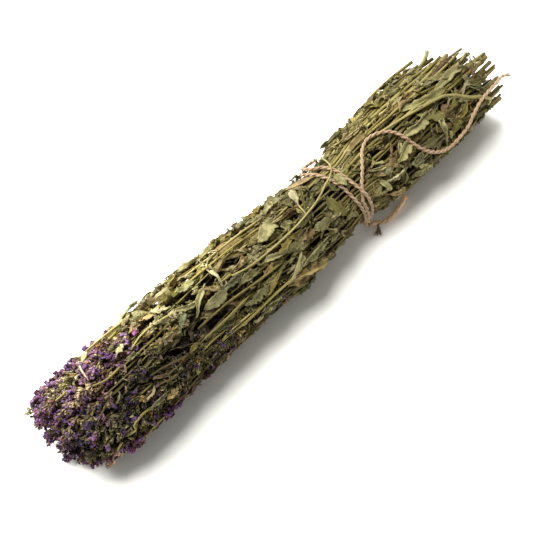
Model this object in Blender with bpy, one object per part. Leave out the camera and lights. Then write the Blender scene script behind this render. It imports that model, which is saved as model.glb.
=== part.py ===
"""A bunch of dried flowering sage, tied with twine and lying on a surface.

The bunch lies along X, with its flower heads towards -X and its cut stem ends towards +X.
The origin is on the surface, under the middle of the bunch. Lengths are in metres.
"""

import bmesh
import bpy
import math
import random

from mathutils import Vector

# The bundle's outline: x, half-width, half-height and sideways centre at each station
PROFILE = (
    (-0.225, 0.0312, 0.0285, -0.0048),
    (-0.175, 0.0352, 0.0310, -0.0058),
    (-0.110, 0.0344, 0.0310, -0.0018),
    (-0.066, 0.0302, 0.0300, -0.0026),
    (-0.040, 0.0308, 0.0295, -0.0016),
    (-0.015, 0.0302, 0.0287, -0.0030),
    (0.025, 0.0285, 0.0270, -0.0024),
    (0.058, 0.0255, 0.0245, 0.0000),
    (0.090, 0.0316, 0.0278, 0.0024),
    (0.150, 0.0333, 0.0310, 0.0052),
    (0.195, 0.0316, 0.0300, 0.0060),
    (0.225, 0.0300, 0.0290, 0.0062),
)
CENTRE_HEIGHT = 0.0323
FLOWER_END = -0.222
CUT_END = 0.221
CUT_SLANT = 0.040
CUT_SLANT_ANGLE = math.radians(25.0)
CUT_SLANT_POWER = 2.2
CUT_UNEVEN = 0.012
TIE_X = 0.055

# Three rings of sprigs, each in its own cell of the round bundle
RINGS = (
    {"sprigs": 12, "inner": 0.64, "outer": 1.00, "stems": 3, "leaves": 7, "columns": 8},
    {"sprigs": 7, "inner": 0.33, "outer": 0.64, "stems": 2, "leaves": 1, "columns": 6},
    {"sprigs": 3, "inner": 0.07, "outer": 0.33, "stems": 1, "leaves": 1, "columns": 4},
)
TWIST = math.radians(14.0)
SWAY = 0.20
SWAY_LENGTH = 0.36
CELL_WALL = 0.0005
CELL_SIDE = 0.97
UNDERNEATH = -0.3
SOFT_POWER = 4
SEED = 43

# Stems
STEM_THICKNESS = 0.0021
STEM_TIP_SHARE = 0.55
STEM_STATIONS = (0.165, 0.115, 0.080, 0.055, 0.030, -0.018, -0.066)
SPREAD_LENGTH = 0.065
TIE_PLACES = ((-0.0012, -0.0008), (0.0012, -0.0008), (0.0000, 0.0014))
STEM_DEPTHS = (0.28, 0.34, 0.70)
STEM_END_GAP = 0.012
STEM_TIPS = (0.004, 0.030)
HEAD_SPREAD = 0.42
HEAD_SWAY = 0.12
HEAD_DEEPER = 0.10
FOOT_SPREAD = 0.50
FOOT_SWAY = 0.20
FOOT_DEEPER = 0.10

# Leaves
LEAF_RINGS = 6
LEAF_EDGE = (0.0, 0.20, 0.88, 0.74, 1.00, 0.52, 0.0)
LEAF_THICKNESS = 0.0008
LEAF_DEPTH = 0.8
LEAF_LENGTHS = (0.026, 0.038)
LEAF_WIDTHS = (0.19, 0.25)
LEAF_FORWARD_SHARE = 0.22
LEAF_TIP_ACROSS = (0.25, 0.70)
LEAF_TIP_DEPTHS = (0.95, 1.30)
LEAF_TILT = 0.9
LEAF_WAVES = (0.0008, 0.0016)
LEAF_START_SPEED = 0.5
LEAF_TURN_POWER = 5
LEAF_SWELL_POWER = 0.5
LEAF_MARGINS = (0.020, 0.035)
LEAF_SCATTER = (0.15, 0.85)
OUTER_LIFT = 1.22
TIE_CLEAR = (0.030, 0.078)
TIE_LIFT = 0.80

# Flower heads
SPIKE_STEP = 0.0084
SPIKE_LEAST_RINGS = 6
SPIKE_HOLLOW = 0.60
SPIKE_LEAN = 0.0030
SPIKE_BASES = (-0.112, -0.066)
SPIKE_SHORTER = 0.026
SPIKE_FILLS = (0.84, 0.96)
SPIKE_BASE_SWELL = (0.45, 2.2)
SPIKE_TIP_SWELL = (0.40, 3.5)
SPIKE_STAND_OUT = 0.24
NODE_GAP = 0.0003
FLAT_ANGLE = math.radians(0.5)
SHARP_ANGLE = math.radians(35.0)
WELD_DISTANCE = 0.00001

# Leaves pressed flat on the surface, two under each of the two lowest sprigs
REST_LENGTH = 0.030
REST_WIDTH = 0.0055
REST_THICKNESS = 0.0014
REST_HANGING_RINGS = 2.0
REST_PLACES = {8: ((0.150, -0.0080), (-0.105, -0.0130)), 9: ((0.150, 0.0150), (-0.105, 0.0090))}

# Twine, with the turns' points as angle in degrees, x and radius over the bundle's
TWINE_RADIUS = 0.00135
TWINE_STEP = 0.0076
TWINE_SIDES = 2
FIRST_TURN = (
    (0, 0.0430, 1.10), (30, 0.0405, 1.09), (54, 0.0425, 1.08), (69, 0.0448, 1.08),
    (88, 0.0468, 1.08), (107, 0.0491, 1.08), (136, 0.0516, 1.08), (155, 0.0539, 1.09),
    (179, 0.0565, 1.10), (205, 0.0590, 1.12), (240, 0.0575, 1.10), (270, 0.0550, 1.09),
    (300, 0.0515, 1.09), (330, 0.0470, 1.10),
)
SECOND_TURN = (
    (8, 0.0655, 1.16), (14, 0.0610, 1.20), (17, 0.0550, 1.22), (24, 0.0485, 1.22),
    (38, 0.0450, 1.19), (53, 0.0475, 1.15), (64, 0.0530, 1.11), (85, 0.0560, 1.10),
    (110, 0.0569, 1.13), (124, 0.0581, 1.19), (137, 0.0597, 1.23), (150, 0.0612, 1.18),
    (169, 0.0630, 1.12), (190, 0.0635, 1.11), (210, 0.0625, 1.12), (240, 0.0635, 1.10),
    (270, 0.0645, 1.10), (300, 0.0660, 1.10), (335, 0.0680, 1.12),
)
KNOT_PLACE = (206, 0.0607, 1.20)
KNOT_RADIUS = 0.0026
KNOT_POINTS = 8
KNOT_FLATNESS = 0.3
KNOT_CORE_SIDES = 6
KNOT_CORE_RINGS = 4
CURVE_PARTS = 20
LONG_TAIL = (
    (0.0570, -0.0239, 0.0456), (0.0602, -0.0200, 0.0508), (0.0645, -0.0153, 0.0550),
    (0.0700, -0.0102, 0.0590), (0.0758, -0.0044, 0.0613), (0.0818, 0.0008, 0.0626),
    (0.0894, 0.0039, 0.0635), (0.0960, 0.0030, 0.0643), (0.1029, -0.0005, 0.0647),
    (0.1080, -0.0053, 0.0642), (0.1114, -0.0120, 0.0624), (0.1144, -0.0193, 0.0584),
    (0.1189, -0.0256, 0.0529), (0.1257, -0.0300, 0.0468), (0.1348, -0.0328, 0.0415),
    (0.1454, -0.0338, 0.0392), (0.1572, -0.0332, 0.0407), (0.1665, -0.0322, 0.0430),
    (0.1752, -0.0294, 0.0472), (0.1852, -0.0268, 0.0508), (0.1950, -0.0256, 0.0524),
    (0.2053, -0.0248, 0.0530), (0.2143, -0.0236, 0.0532), (0.2235, -0.0262, 0.0500),
)
SHORT_TAIL = (
    (0.0655, -0.0285, 0.0150), (0.0690, -0.0270, 0.0090), (0.0735, -0.0262, 0.0040),
    (0.0778, -0.0282, 0.0022), (0.0830, -0.0298, 0.0020), (0.0890, -0.0296, 0.0021),
    (0.0945, -0.0290, 0.0025), (0.0998, -0.0281, 0.0032), (0.1045, -0.0268, 0.0042),
    (0.1072, -0.0260, 0.0050),
)
STUB = ((0.0722, -0.0294, 0.0026), (0.0700, -0.0318, 0.0022), (0.0672, -0.0338, 0.0020))

# Materials, as a linear colour and a roughness
DRIED_LEAF = ((0.20, 0.19, 0.08), 0.85)
DRIED_FLOWER = ((0.16, 0.09, 0.17), 0.90)
NATURAL_TWINE = ((0.50, 0.33, 0.19), 0.95)


def clear_scene():
    for item in list(bpy.data.objects):
        bpy.data.objects.remove(item, do_unlink=True)


def make_collection(name):
    collection = bpy.data.collections.new(name)
    bpy.context.scene.collection.children.link(collection)
    return collection


def make_material(name, colour, roughness):
    material = bpy.data.materials.new(name)
    material.use_nodes = True
    surface = material.node_tree.nodes["Principled BSDF"]
    surface.inputs["Base Color"].default_value = (*colour, 1.0)
    surface.inputs["Roughness"].default_value = roughness
    surface.inputs["Metallic"].default_value = 0.0
    return material


def profile_at(x):
    """The bundle's half-width, half-height and sideways centre at x."""
    for start, end in zip(PROFILE, PROFILE[1:]):
        if x <= end[0]:
            break
    share = min(max((x - start[0]) / (end[0] - start[0]), 0.0), 1.0)
    share = share * share * (3.0 - 2.0 * share)
    return tuple(a + (b - a) * share for a, b in zip(start[1:], end[1:]))


def bundle_point(x, angle, radius):
    """The point at x, at an angle round the bundle's axis and a share of its radius."""
    half_width, half_height, centre_y = profile_at(x)
    y = centre_y + half_width * radius * math.cos(angle)
    z = CENTRE_HEIGHT + half_height * radius * math.sin(angle)
    return Vector((x, y, z))


def soft_limit(value, limit):
    """The value, eased so that it never passes the limit on either side."""
    return value / (1.0 + abs(value / limit) ** SOFT_POWER) ** (1.0 / SOFT_POWER)


def cut_at(angle, radius):
    """Where stems are cut: the bunch's end is trimmed at a slant."""
    turned = max(math.cos(angle - CUT_SLANT_ANGLE), 0.0)
    return CUT_END - CUT_SLANT * radius * turned**CUT_SLANT_POWER


class Cell:
    """One sprig's share of the bundle: a sector of a ring that sways along the bundle."""

    def __init__(self, ring, index):
        self.inner = ring["inner"]
        self.outer = ring["outer"]
        self.count = ring["sprigs"]
        self.index = index
        self.outermost = ring is RINGS[0]

    def edge_angle(self, x, index):
        step = math.tau / self.count
        phase = 2.4 * (index % self.count) + 5.0 * self.inner
        sway = SWAY * step * math.sin(math.tau * x / SWAY_LENGTH + phase)
        return index * step + sway + TWIST * x / (CUT_END - FLOWER_END)

    def middle_angle(self, x):
        return (self.edge_angle(x, self.index) + self.edge_angle(x, self.index + 1)) / 2.0

    def size(self, x, depth):
        """Half the cell's width and its thickness at x, in metres."""
        half_width = profile_at(x)[0]
        radius = self.inner + depth * (self.outer - self.inner)
        span = self.edge_angle(x, self.index + 1) - self.edge_angle(x, self.index)
        width = half_width * radius * span / 2.0 - CELL_WALL
        return width, half_width * (self.outer - self.inner) - 2.0 * CELL_WALL

    def point(self, x, across, depth):
        """The point at across, -1 to 1, and at depth, 0 inside to 1 outside."""
        half_width = profile_at(x)[0]
        wall = CELL_WALL / half_width
        radius = self.inner + wall + depth * (self.outer - self.inner - 2.0 * wall)
        low = self.edge_angle(x, self.index)
        high = self.edge_angle(x, self.index + 1)
        reach = (high - low) / 2.0 - CELL_WALL / (half_width * radius)
        return bundle_point(x, (low + high) / 2.0 + across * reach, radius)

    def top(self, x):
        """How far out growth may stand: flush at the tie and underneath, more elsewhere."""
        if not self.outermost:
            return 1.0
        if TIE_CLEAR[0] < x < TIE_CLEAR[1]:
            return TIE_LIFT
        return 1.0 if math.sin(self.middle_angle(x)) < UNDERNEATH else OUTER_LIFT

    def bounded(self, x, across, depth):
        """The point, eased inside the cell's walls."""
        centred = 2.0 * depth - 1.0
        centred = soft_limit(centred, 2.0 * self.top(x) - 1.0 if centred > 0.0 else 1.0)
        return self.point(x, soft_limit(across, CELL_SIDE), (centred + 1.0) / 2.0)


class Stem:
    """A stem's way through its cell, from its cut end to its tip."""

    def __init__(self, cell, draw, order, tip, cut):
        self.cell = cell
        self.tip = tip
        self.cut = cut
        place = TIE_PLACES[order]
        level = STEM_DEPTHS[order]
        width, thickness = cell.size(TIE_X, 0.5)
        self.tie = (place[0] / width, 0.5 + place[1] / thickness)
        side = 1.0 if place[0] > 0.0 else -1.0 if place[0] < 0.0 else 0.0
        self.head = (
            HEAD_SPREAD * side + draw.uniform(-HEAD_SWAY, HEAD_SWAY),
            level + draw.uniform(0.0, HEAD_DEEPER),
        )
        self.foot = (
            FOOT_SPREAD * side + draw.uniform(-FOOT_SWAY, FOOT_SWAY),
            level + draw.uniform(-FOOT_DEEPER, FOOT_DEEPER),
        )

    def at(self, x):
        """The stem's place across the cell and in depth at x."""
        spread = 1.0 - math.exp(-(((x - TIE_X) / SPREAD_LENGTH) ** 2))
        far = self.head if x < TIE_X else self.foot
        return tuple(near + (end - near) * spread for near, end in zip(self.tie, far))

    def route(self):
        low, high = self.tip + STEM_END_GAP, self.cut - STEM_END_GAP
        stations = [x for x in STEM_STATIONS if low < x < high]
        return [self.cell.point(x, *self.at(x)) for x in (self.cut, *stations, self.tip)]


def closed_mesh(curve_object):
    """The curve's surface as a mesh with its end caps welded on."""
    bpy.context.scene.collection.objects.link(curve_object)
    bpy.context.view_layer.update()
    depsgraph = bpy.context.evaluated_depsgraph_get()
    mesh = bpy.data.meshes.new_from_object(curve_object.evaluated_get(depsgraph))
    bpy.data.objects.remove(curve_object, do_unlink=True)
    shape = bmesh.new()
    shape.from_mesh(mesh)
    bmesh.ops.remove_doubles(shape, verts=shape.verts, dist=WELD_DISTANCE)
    bmesh.ops.recalc_face_normals(shape, faces=shape.faces)
    shape.to_mesh(mesh)
    shape.free()
    return mesh


def tube(name, points, radius, sides, taper=None, cyclic=False):
    """A curve object through the points, square when sides is 0 and rounder when it is more."""
    curve = bpy.data.curves.new(name, "CURVE")
    curve.dimensions = "3D"
    curve.bevel_depth = radius
    curve.bevel_resolution = sides
    curve.use_fill_caps = True
    spline = curve.splines.new("POLY")
    spline.points.add(len(points) - 1)
    for number, point in enumerate(points):
        spline.points[number].co = (*point, 1.0)
        spline.points[number].radius = taper[number] if taper else 1.0
    spline.use_cyclic_u = cyclic
    return bpy.data.objects.new(name, curve)


def smooth_route(points, step, cyclic=False):
    """Points every step along a smooth curve through the given points."""
    count = len(points)
    dense = []
    for number in range(count if cyclic else count - 1):
        if cyclic:
            before, start, end, after = (points[(number + k) % count] for k in (-1, 0, 1, 2))
        else:
            before, after = points[max(number - 1, 0)], points[min(number + 2, count - 1)]
            start, end = points[number], points[number + 1]
        for part in range(CURVE_PARTS):
            t = part / CURVE_PARTS
            bend = (2.0 * before - 5.0 * start + 4.0 * end - after) * t * t
            turn = (3.0 * start - before - 3.0 * end + after) * t * t * t
            dense.append(0.5 * (2.0 * start + (end - before) * t + bend + turn))
    dense.append(points[0] if cyclic else points[-1])
    lengths = [0.0]
    for start, end in zip(dense, dense[1:]):
        lengths.append(lengths[-1] + (end - start).length)
    pieces = max(round(lengths[-1] / step), 2)
    route = []
    place = 0
    for number in range(pieces if cyclic else pieces + 1):
        target = lengths[-1] * number / pieces
        while place < len(dense) - 2 and lengths[place + 1] < target:
            place += 1
        share = (target - lengths[place]) / (lengths[place + 1] - lengths[place])
        route.append(dense[place].lerp(dense[place + 1], share))
    return route


def leaf_mesh(place, thickness):
    """A lens-shaped leaf from a sphere's rings.

    place takes how far along, the side, -1, 0 or 1, and the height over the blade, and
    gives the point. Both faces are split alike while the blade still has no thickness.
    """
    shape = bmesh.new()
    bmesh.ops.create_uvsphere(shape, u_segments=4, v_segments=LEAF_RINGS, radius=1.0)
    spots = []
    for vertex in shape.verts:
        along = 1.0 - math.acos(max(-1.0, min(1.0, vertex.co.z))) / math.pi
        ring = round(along * LEAF_RINGS)
        at_pole = ring in (0, LEAF_RINGS)
        side = 0 if at_pole else round(vertex.co.x / math.sin(math.pi * along))
        face = 0 if at_pole else round(vertex.co.y / math.sin(math.pi * along))
        spots.append((vertex, ring, side, face))
    for vertex, ring, side, _ in spots:
        vertex.co = place(ring, side, 0.0)
    bmesh.ops.triangulate(shape, faces=shape.faces, quad_method="SHORT_EDGE")
    for vertex, ring, side, face in spots:
        vertex.co = place(ring, side, face * thickness)
    bmesh.ops.recalc_face_normals(shape, faces=shape.faces)
    mesh = bpy.data.meshes.new("leaf")
    shape.to_mesh(mesh)
    shape.free()
    return mesh


def grown_leaf(stem, draw, root_x, side):
    """A leaf that grows from the stem at root_x and lies back along the sprig."""
    cell = stem.cell
    root = stem.at(root_x)
    width, thickness = cell.size(root_x, LEAF_DEPTH)
    length = draw.uniform(*LEAF_LENGTHS)
    half_leaf = length * draw.uniform(*LEAF_WIDTHS)
    heading = 1.0 if draw.random() < LEAF_FORWARD_SHARE else -1.0
    tip = (side * draw.uniform(*LEAF_TIP_ACROSS), draw.uniform(*LEAF_TIP_DEPTHS))
    tilt = draw.uniform(-LEAF_TILT, LEAF_TILT)
    wave = draw.uniform(*LEAF_WAVES)

    def place(ring, edge, lift):
        along = ring / LEAF_RINGS
        speed = LEAF_START_SPEED + (1.0 - LEAF_START_SPEED) * along
        x = root_x + heading * length * along * speed
        reach = 1.0 - (1.0 - along) ** LEAF_TURN_POWER
        out = half_leaf * LEAF_EDGE[ring] * edge
        rise = lift * math.sin(math.pi * along) ** LEAF_SWELL_POWER
        rise += wave * edge * edge * (1 if ring % 2 else -1)
        slant = tilt * along
        across = root[0] + (tip[0] - root[0]) * reach
        across += (out * math.cos(slant) - rise * math.sin(slant)) / width
        depth = root[1] + (tip[1] - root[1]) * reach
        depth += (out * math.sin(slant) + rise * math.cos(slant)) / thickness
        return cell.bounded(x, across, depth)

    return leaf_mesh(place, LEAF_THICKNESS)


def pressed_leaf(stem, x, y):
    """A leaf that hangs below the bundle, with its underside flat on the surface."""
    root_x = x + REST_LENGTH / 2.0
    root = stem.cell.point(root_x, *stem.at(root_x))

    def place(ring, edge, lift):
        along = ring / LEAF_RINGS
        flat = min(ring / REST_HANGING_RINGS, 1.0)
        thickness = REST_THICKNESS * math.sin(math.pi * along) * (lift > 0.0)
        side = REST_WIDTH * LEAF_EDGE[ring] * edge
        low = Vector((root_x - REST_LENGTH * along, y + side, thickness))
        return root.lerp(low, flat)

    return leaf_mesh(place, LEAF_THICKNESS)


def spike_mesh(cell, base, tip, columns, fill):
    """A flower head: florets standing out in turn round a tapering core."""
    rings = max(round((base - tip) / SPIKE_STEP), SPIKE_LEAST_RINGS)
    shape = bmesh.new()
    bmesh.ops.create_uvsphere(shape, u_segments=columns, v_segments=rings, radius=1.0)
    for vertex in shape.verts:
        along = math.acos(max(-1.0, min(1.0, -vertex.co.z))) / math.pi
        ring = round(along * rings)
        x = base + (tip - base) * along
        if ring in (0, rings):
            vertex.co = cell.point(x, 0.0, 0.5)
            continue
        angle = math.atan2(vertex.co.y, vertex.co.x)
        column = round(angle / math.tau * columns)
        raised = (ring + column) % 2 == 0
        swell = min(
            1.0,
            SPIKE_BASE_SWELL[0] + SPIKE_BASE_SWELL[1] * along,
            SPIKE_TIP_SWELL[0] + SPIKE_TIP_SWELL[1] * (1.0 - along),
        )
        out = fill * swell * (1.0 if raised else SPIKE_HOLLOW)
        lean = SPIKE_LEAN if raised and ring < rings - 1 else 0.0
        rise = out * math.sin(angle)
        if raised and rise > 0.0 and cell.top(x) > 1.0:
            rise += SPIKE_STAND_OUT * swell
        vertex.co = cell.point(x - lean, out * math.cos(angle), 0.5 + 0.5 * rise)
    bmesh.ops.triangulate(shape, faces=shape.faces, quad_method="SHORT_EDGE")
    bmesh.ops.recalc_face_normals(shape, faces=shape.faces)
    mesh = bpy.data.meshes.new("florets")
    shape.to_mesh(mesh)
    shape.free()
    return mesh


def keep_largest_body(mesh):
    """Drops loose scraps and sealed hollows, which are bodies of their own."""
    shape = bmesh.new()
    shape.from_mesh(mesh)
    left = set(shape.verts)
    bodies = []
    while left:
        body = {left.pop()}
        front = list(body)
        while front:
            vertex = front.pop()
            for edge in vertex.link_edges:
                other = edge.other_vert(vertex)
                if other not in body:
                    body.add(other)
                    front.append(other)
        left -= body
        bodies.append(body)
    bodies.sort(key=len)
    for body in bodies[:-1]:
        bmesh.ops.delete(shape, geom=list(body), context="VERTS")
    flat = {"angle_limit": FLAT_ANGLE, "verts": shape.verts, "edges": shape.edges}
    bmesh.ops.dissolve_limit(shape, **flat)
    bmesh.ops.triangulate(shape, faces=shape.faces)
    shape.to_mesh(mesh)
    shape.free()


def joined(name, meshes, collection, material):
    """One object from meshes that grow into each other, by a Boolean union."""
    body = bpy.data.objects.new(name, meshes[0])
    collection.objects.link(body)
    grown = make_collection(name + "_parts")
    for mesh in meshes[1:]:
        grown.objects.link(bpy.data.objects.new(name + "_part", mesh))
    union = body.modifiers.new("Grown together", "BOOLEAN")
    union.operand_type = "COLLECTION"
    union.collection = grown
    union.operation = "UNION"
    union.solver = "MANIFOLD"
    bpy.context.view_layer.update()
    depsgraph = bpy.context.evaluated_depsgraph_get()
    mesh = bpy.data.meshes.new_from_object(body.evaluated_get(depsgraph))
    body.modifiers.clear()
    body.data = mesh
    for item in list(grown.objects):
        bpy.data.objects.remove(item, do_unlink=True)
    bpy.data.collections.remove(grown)
    keep_largest_body(mesh)
    finish(body, material)
    return body


def finish(body, material):
    body.data.materials.clear()
    body.data.materials.append(material)
    body.data.shade_smooth()
    body.data.set_sharp_from_angle(angle=SHARP_ANGLE)


def stem_mesh(stem, thickness):
    route = stem.route()
    taper = []
    for point in route:
        share = (point.x - stem.tip) / (stem.cut - stem.tip)
        taper.append(STEM_TIP_SHARE + (1.0 - STEM_TIP_SHARE) * share)
    return closed_mesh(tube("stem", route, thickness, 0, taper))


def sprig_leaves(stems, draw, number, count):
    """The sprig's leaves, in turn on its stems and on either side of them."""
    meshes = []
    for leaf in range(count):
        stem = stems[leaf % len(stems)]
        share = (leaf + draw.uniform(*LEAF_SCATTER)) / count
        low, high = stem.tip + LEAF_MARGINS[0], stem.cut - LEAF_MARGINS[1]
        root_x = low + (high - low) * share
        if TIE_CLEAR[0] < root_x < TIE_CLEAR[1]:
            root_x = TIE_CLEAR[0] if leaf % 2 else TIE_CLEAR[1]
        side = 1.0 if (leaf + number) % 2 else -1.0
        meshes.append(grown_leaf(stem, draw, root_x, side))
    return meshes


def build_sprig(number, cell, ring, collection, green, purple):
    """A leafy stem of the bunch and the flower head that it carries."""
    draw = random.Random(SEED + number)
    base = draw.uniform(*SPIKE_BASES)
    trim = cut_at(cell.middle_angle(CUT_END), ring["outer"])
    stems = []
    for order in range(ring["stems"]):
        tip = base + draw.uniform(*STEM_TIPS) if stems else base
        stems.append(Stem(cell, draw, order, tip, trim - draw.uniform(0.0, CUT_UNEVEN)))
    meshes = [stem_mesh(stem, STEM_THICKNESS) for stem in stems]
    meshes += sprig_leaves(stems, draw, number, ring["leaves"])
    for x, y in REST_PLACES.get(number, ()):
        meshes.append(pressed_leaf(stems[0], x, y))
    joined(f"sprig_{number + 1:02d}", meshes, collection, green)
    spike = spike_mesh(
        cell,
        base - NODE_GAP,
        FLOWER_END + draw.uniform(0.0, SPIKE_SHORTER),
        ring["columns"],
        draw.uniform(*SPIKE_FILLS),
    )
    head = bpy.data.objects.new(f"flower_spike_{number + 1:02d}", spike)
    collection.objects.link(head)
    finish(head, purple)


def build_sprigs(collection):
    green = make_material("dried_leaf", *DRIED_LEAF)
    purple = make_material("dried_flower", *DRIED_FLOWER)
    number = 0
    for ring in RINGS:
        for index in range(ring["sprigs"]):
            build_sprig(number, Cell(ring, index), ring, collection, green, purple)
            number += 1


def turn_points(turn):
    return [bundle_point(x, math.radians(angle), radius) for angle, x, radius in turn]


def twine_tie_meshes():
    """Two turns of twine and the small ring of the knot that holds them."""
    meshes = []
    for turn in (FIRST_TURN, SECOND_TURN):
        route = smooth_route(turn_points(turn), TWINE_STEP, cyclic=True)
        meshes.append(closed_mesh(tube("turn", route, TWINE_RADIUS, TWINE_SIDES, cyclic=True)))
    centre = turn_points((KNOT_PLACE,))[0]
    ring = []
    for number in range(KNOT_POINTS):
        angle = math.tau * number / KNOT_POINTS
        across = Vector((math.cos(angle), KNOT_FLATNESS * math.sin(angle), math.sin(angle)))
        ring.append(centre + KNOT_RADIUS * across)
    meshes.append(closed_mesh(tube("knot", ring, TWINE_RADIUS, TWINE_SIDES, cyclic=True)))
    core = bmesh.new()
    sides, rings = KNOT_CORE_SIDES, KNOT_CORE_RINGS
    bmesh.ops.create_uvsphere(core, u_segments=sides, v_segments=rings, radius=KNOT_RADIUS)
    bmesh.ops.translate(core, verts=core.verts, vec=centre)
    mesh = bpy.data.meshes.new("knot_core")
    core.to_mesh(mesh)
    core.free()
    meshes.append(mesh)
    return meshes


def build_twine(collection):
    tan = make_material("twine", *NATURAL_TWINE)
    joined("twine_tie", twine_tie_meshes(), collection, tan)
    for name, route in (
        ("twine_long_tail", LONG_TAIL),
        ("twine_short_tail", SHORT_TAIL),
        ("twine_stub", STUB),
    ):
        points = smooth_route([Vector(point) for point in route], TWINE_STEP)
        mesh = closed_mesh(tube(name, points, TWINE_RADIUS, TWINE_SIDES))
        cord = bpy.data.objects.new(name, mesh)
        collection.objects.link(cord)
        finish(cord, tan)


def main():
    clear_scene()
    collection = make_collection("sage_bunch")
    build_sprigs(collection)
    build_twine(collection)


main()
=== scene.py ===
"""The looks of a bunch of dried flowering sage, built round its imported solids.

The bunch lies along X, with its flower heads towards -X and its cut stem ends towards +X.
Lengths are in metres. Angles round the bundle start at +Y and rise over its top.
"""

import collections
import functools
import math
import random

import bpy
import numpy as np
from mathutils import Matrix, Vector


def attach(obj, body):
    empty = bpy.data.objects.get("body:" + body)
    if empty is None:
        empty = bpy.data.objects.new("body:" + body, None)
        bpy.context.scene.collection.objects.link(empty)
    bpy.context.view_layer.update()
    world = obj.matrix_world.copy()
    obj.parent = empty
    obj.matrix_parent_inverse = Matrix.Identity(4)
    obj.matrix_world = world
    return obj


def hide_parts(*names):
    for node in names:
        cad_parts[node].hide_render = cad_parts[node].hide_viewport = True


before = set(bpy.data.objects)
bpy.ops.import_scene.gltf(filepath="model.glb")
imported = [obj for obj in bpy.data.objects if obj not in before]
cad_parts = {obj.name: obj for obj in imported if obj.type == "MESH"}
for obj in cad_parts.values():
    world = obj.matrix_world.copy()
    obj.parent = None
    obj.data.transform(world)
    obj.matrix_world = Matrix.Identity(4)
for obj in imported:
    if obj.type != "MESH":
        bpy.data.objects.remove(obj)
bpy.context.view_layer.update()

# The photograph's view
FRAME_PIXELS = 533
CAMERA_AZIMUTH = math.radians(-45.3)
CAMERA_ELEVATION = math.radians(58.0)
CAMERA_DISTANCE = 0.8999
CAMERA_TARGET = np.array((-0.0243, -0.0061, 0.0300))
CAMERA_LENS = 85.0
SENSOR_WIDTH = 36.0
FOCAL_PIXELS = CAMERA_LENS / SENSOR_WIDTH * FRAME_PIXELS

# The bundle's outline: x, half-width, half-height and sideways centre at each station
PROFILE = np.array((
    (-0.225, 0.0291, 0.0282, -0.0039),
    (-0.175, 0.0340, 0.0310, -0.0058),
    (-0.110, 0.0326, 0.0308, -0.0036),
    (-0.066, 0.0302, 0.0300, -0.0026),
    (-0.040, 0.0308, 0.0295, -0.0016),
    (-0.015, 0.0302, 0.0287, -0.0030),
    (0.025, 0.0285, 0.0270, -0.0024),
    (0.058, 0.0255, 0.0245, 0.0000),
    (0.090, 0.0316, 0.0278, 0.0024),
    (0.150, 0.0333, 0.0310, 0.0052),
    (0.195, 0.0316, 0.0300, 0.0060),
    (0.225, 0.0300, 0.0290, 0.0062),
))
CENTRE_HEIGHT = 0.0323
FLOWER_END = -0.222
NEAR_CORNER = math.radians(215.0)
SPIKE_BASES = (-0.112, -0.066)
CUT_END = 0.221
CUT_SLANT = 0.040
CUT_SLANT_ANGLE = math.radians(25.0)
CUT_SLANT_POWER = 2.2
TIE_X = 0.055
FLOOR_GAP = 0.0004

# Three rings of sprigs, each in its own cell of the round bundle
RINGS = (
    {"sprigs": 12, "inner": 0.64, "outer": 1.00, "inner_leaves": 44},
    {"sprigs": 7, "inner": 0.33, "outer": 0.64, "inner_leaves": 24},
    {"sprigs": 3, "inner": 0.07, "outer": 0.33, "inner_leaves": 12},
)
# What grows along the outer stems of each sprig that shows
RANDOM_LEAVES, SMALL_LEAVES, BUD_CLUSTERS = 40, 110, 34
# Where the flower heads begin, by angle in degrees, and what they look like up to each angle
FLOWER_STARTS = (
    (0, 60, 90, 112, 128, 145, 175, 200, 270, 360),
    (-0.130, -0.132, -0.152, -0.154, -0.124, -0.070, -0.066, -0.096, -0.112, -0.130),
)
# The dark "deep" heads on the middle and lower side are partly painted shade; they are also sparser
SPIKE_MIXES = (
    (78, ("purple", "purple", "purple", "green", "tan")),
    (104, ("tan", "mauve", "purple", "purple")),
    (132, ("deep", "mauve", "tan", "deep")),
    (186, ("deep", "green", "green", "deep", "tan")),
    (216, ("green", "magenta", "tan", "green")),
    (320, ("tan", "purple", "green", "mauve")),
)
TWIST = math.radians(14.0)
SWAY = 0.20
SWAY_LENGTH = 0.36
SEED = 43
TWINE_SEED = SEED + 500
SEEN_SEED = SEED + 700

# Places of a sprig's stems and flower heads in its cell, as across and depth
STEM_PLACES = (
    (
        (-0.80, 0.93), (-0.42, 0.98), (0.00, 0.92), (0.40, 0.99), (0.80, 0.93),
        (-0.5, 0.45), (0.45, 0.40),
    ),
    ((-0.6, 0.75), (0.6, 0.70), (-0.2, 0.25), (0.3, 0.3), (0.0, 0.85), (-0.75, 0.4), (0.8, 0.2)),
    ((-0.5, 0.6), (0.5, 0.7), (0.0, 0.2), (-0.8, 0.9), (0.1, 0.9)),
)
SPIKE_PLACES = (
    ((-0.7, 0.62), (-0.25, 0.80), (0.25, 0.66), (0.7, 0.78), (0.0, 0.25)),
    ((-0.4, 0.7), (0.4, 0.4)),
    ((-0.4, 0.6), (0.4, 0.4)),
)

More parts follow.
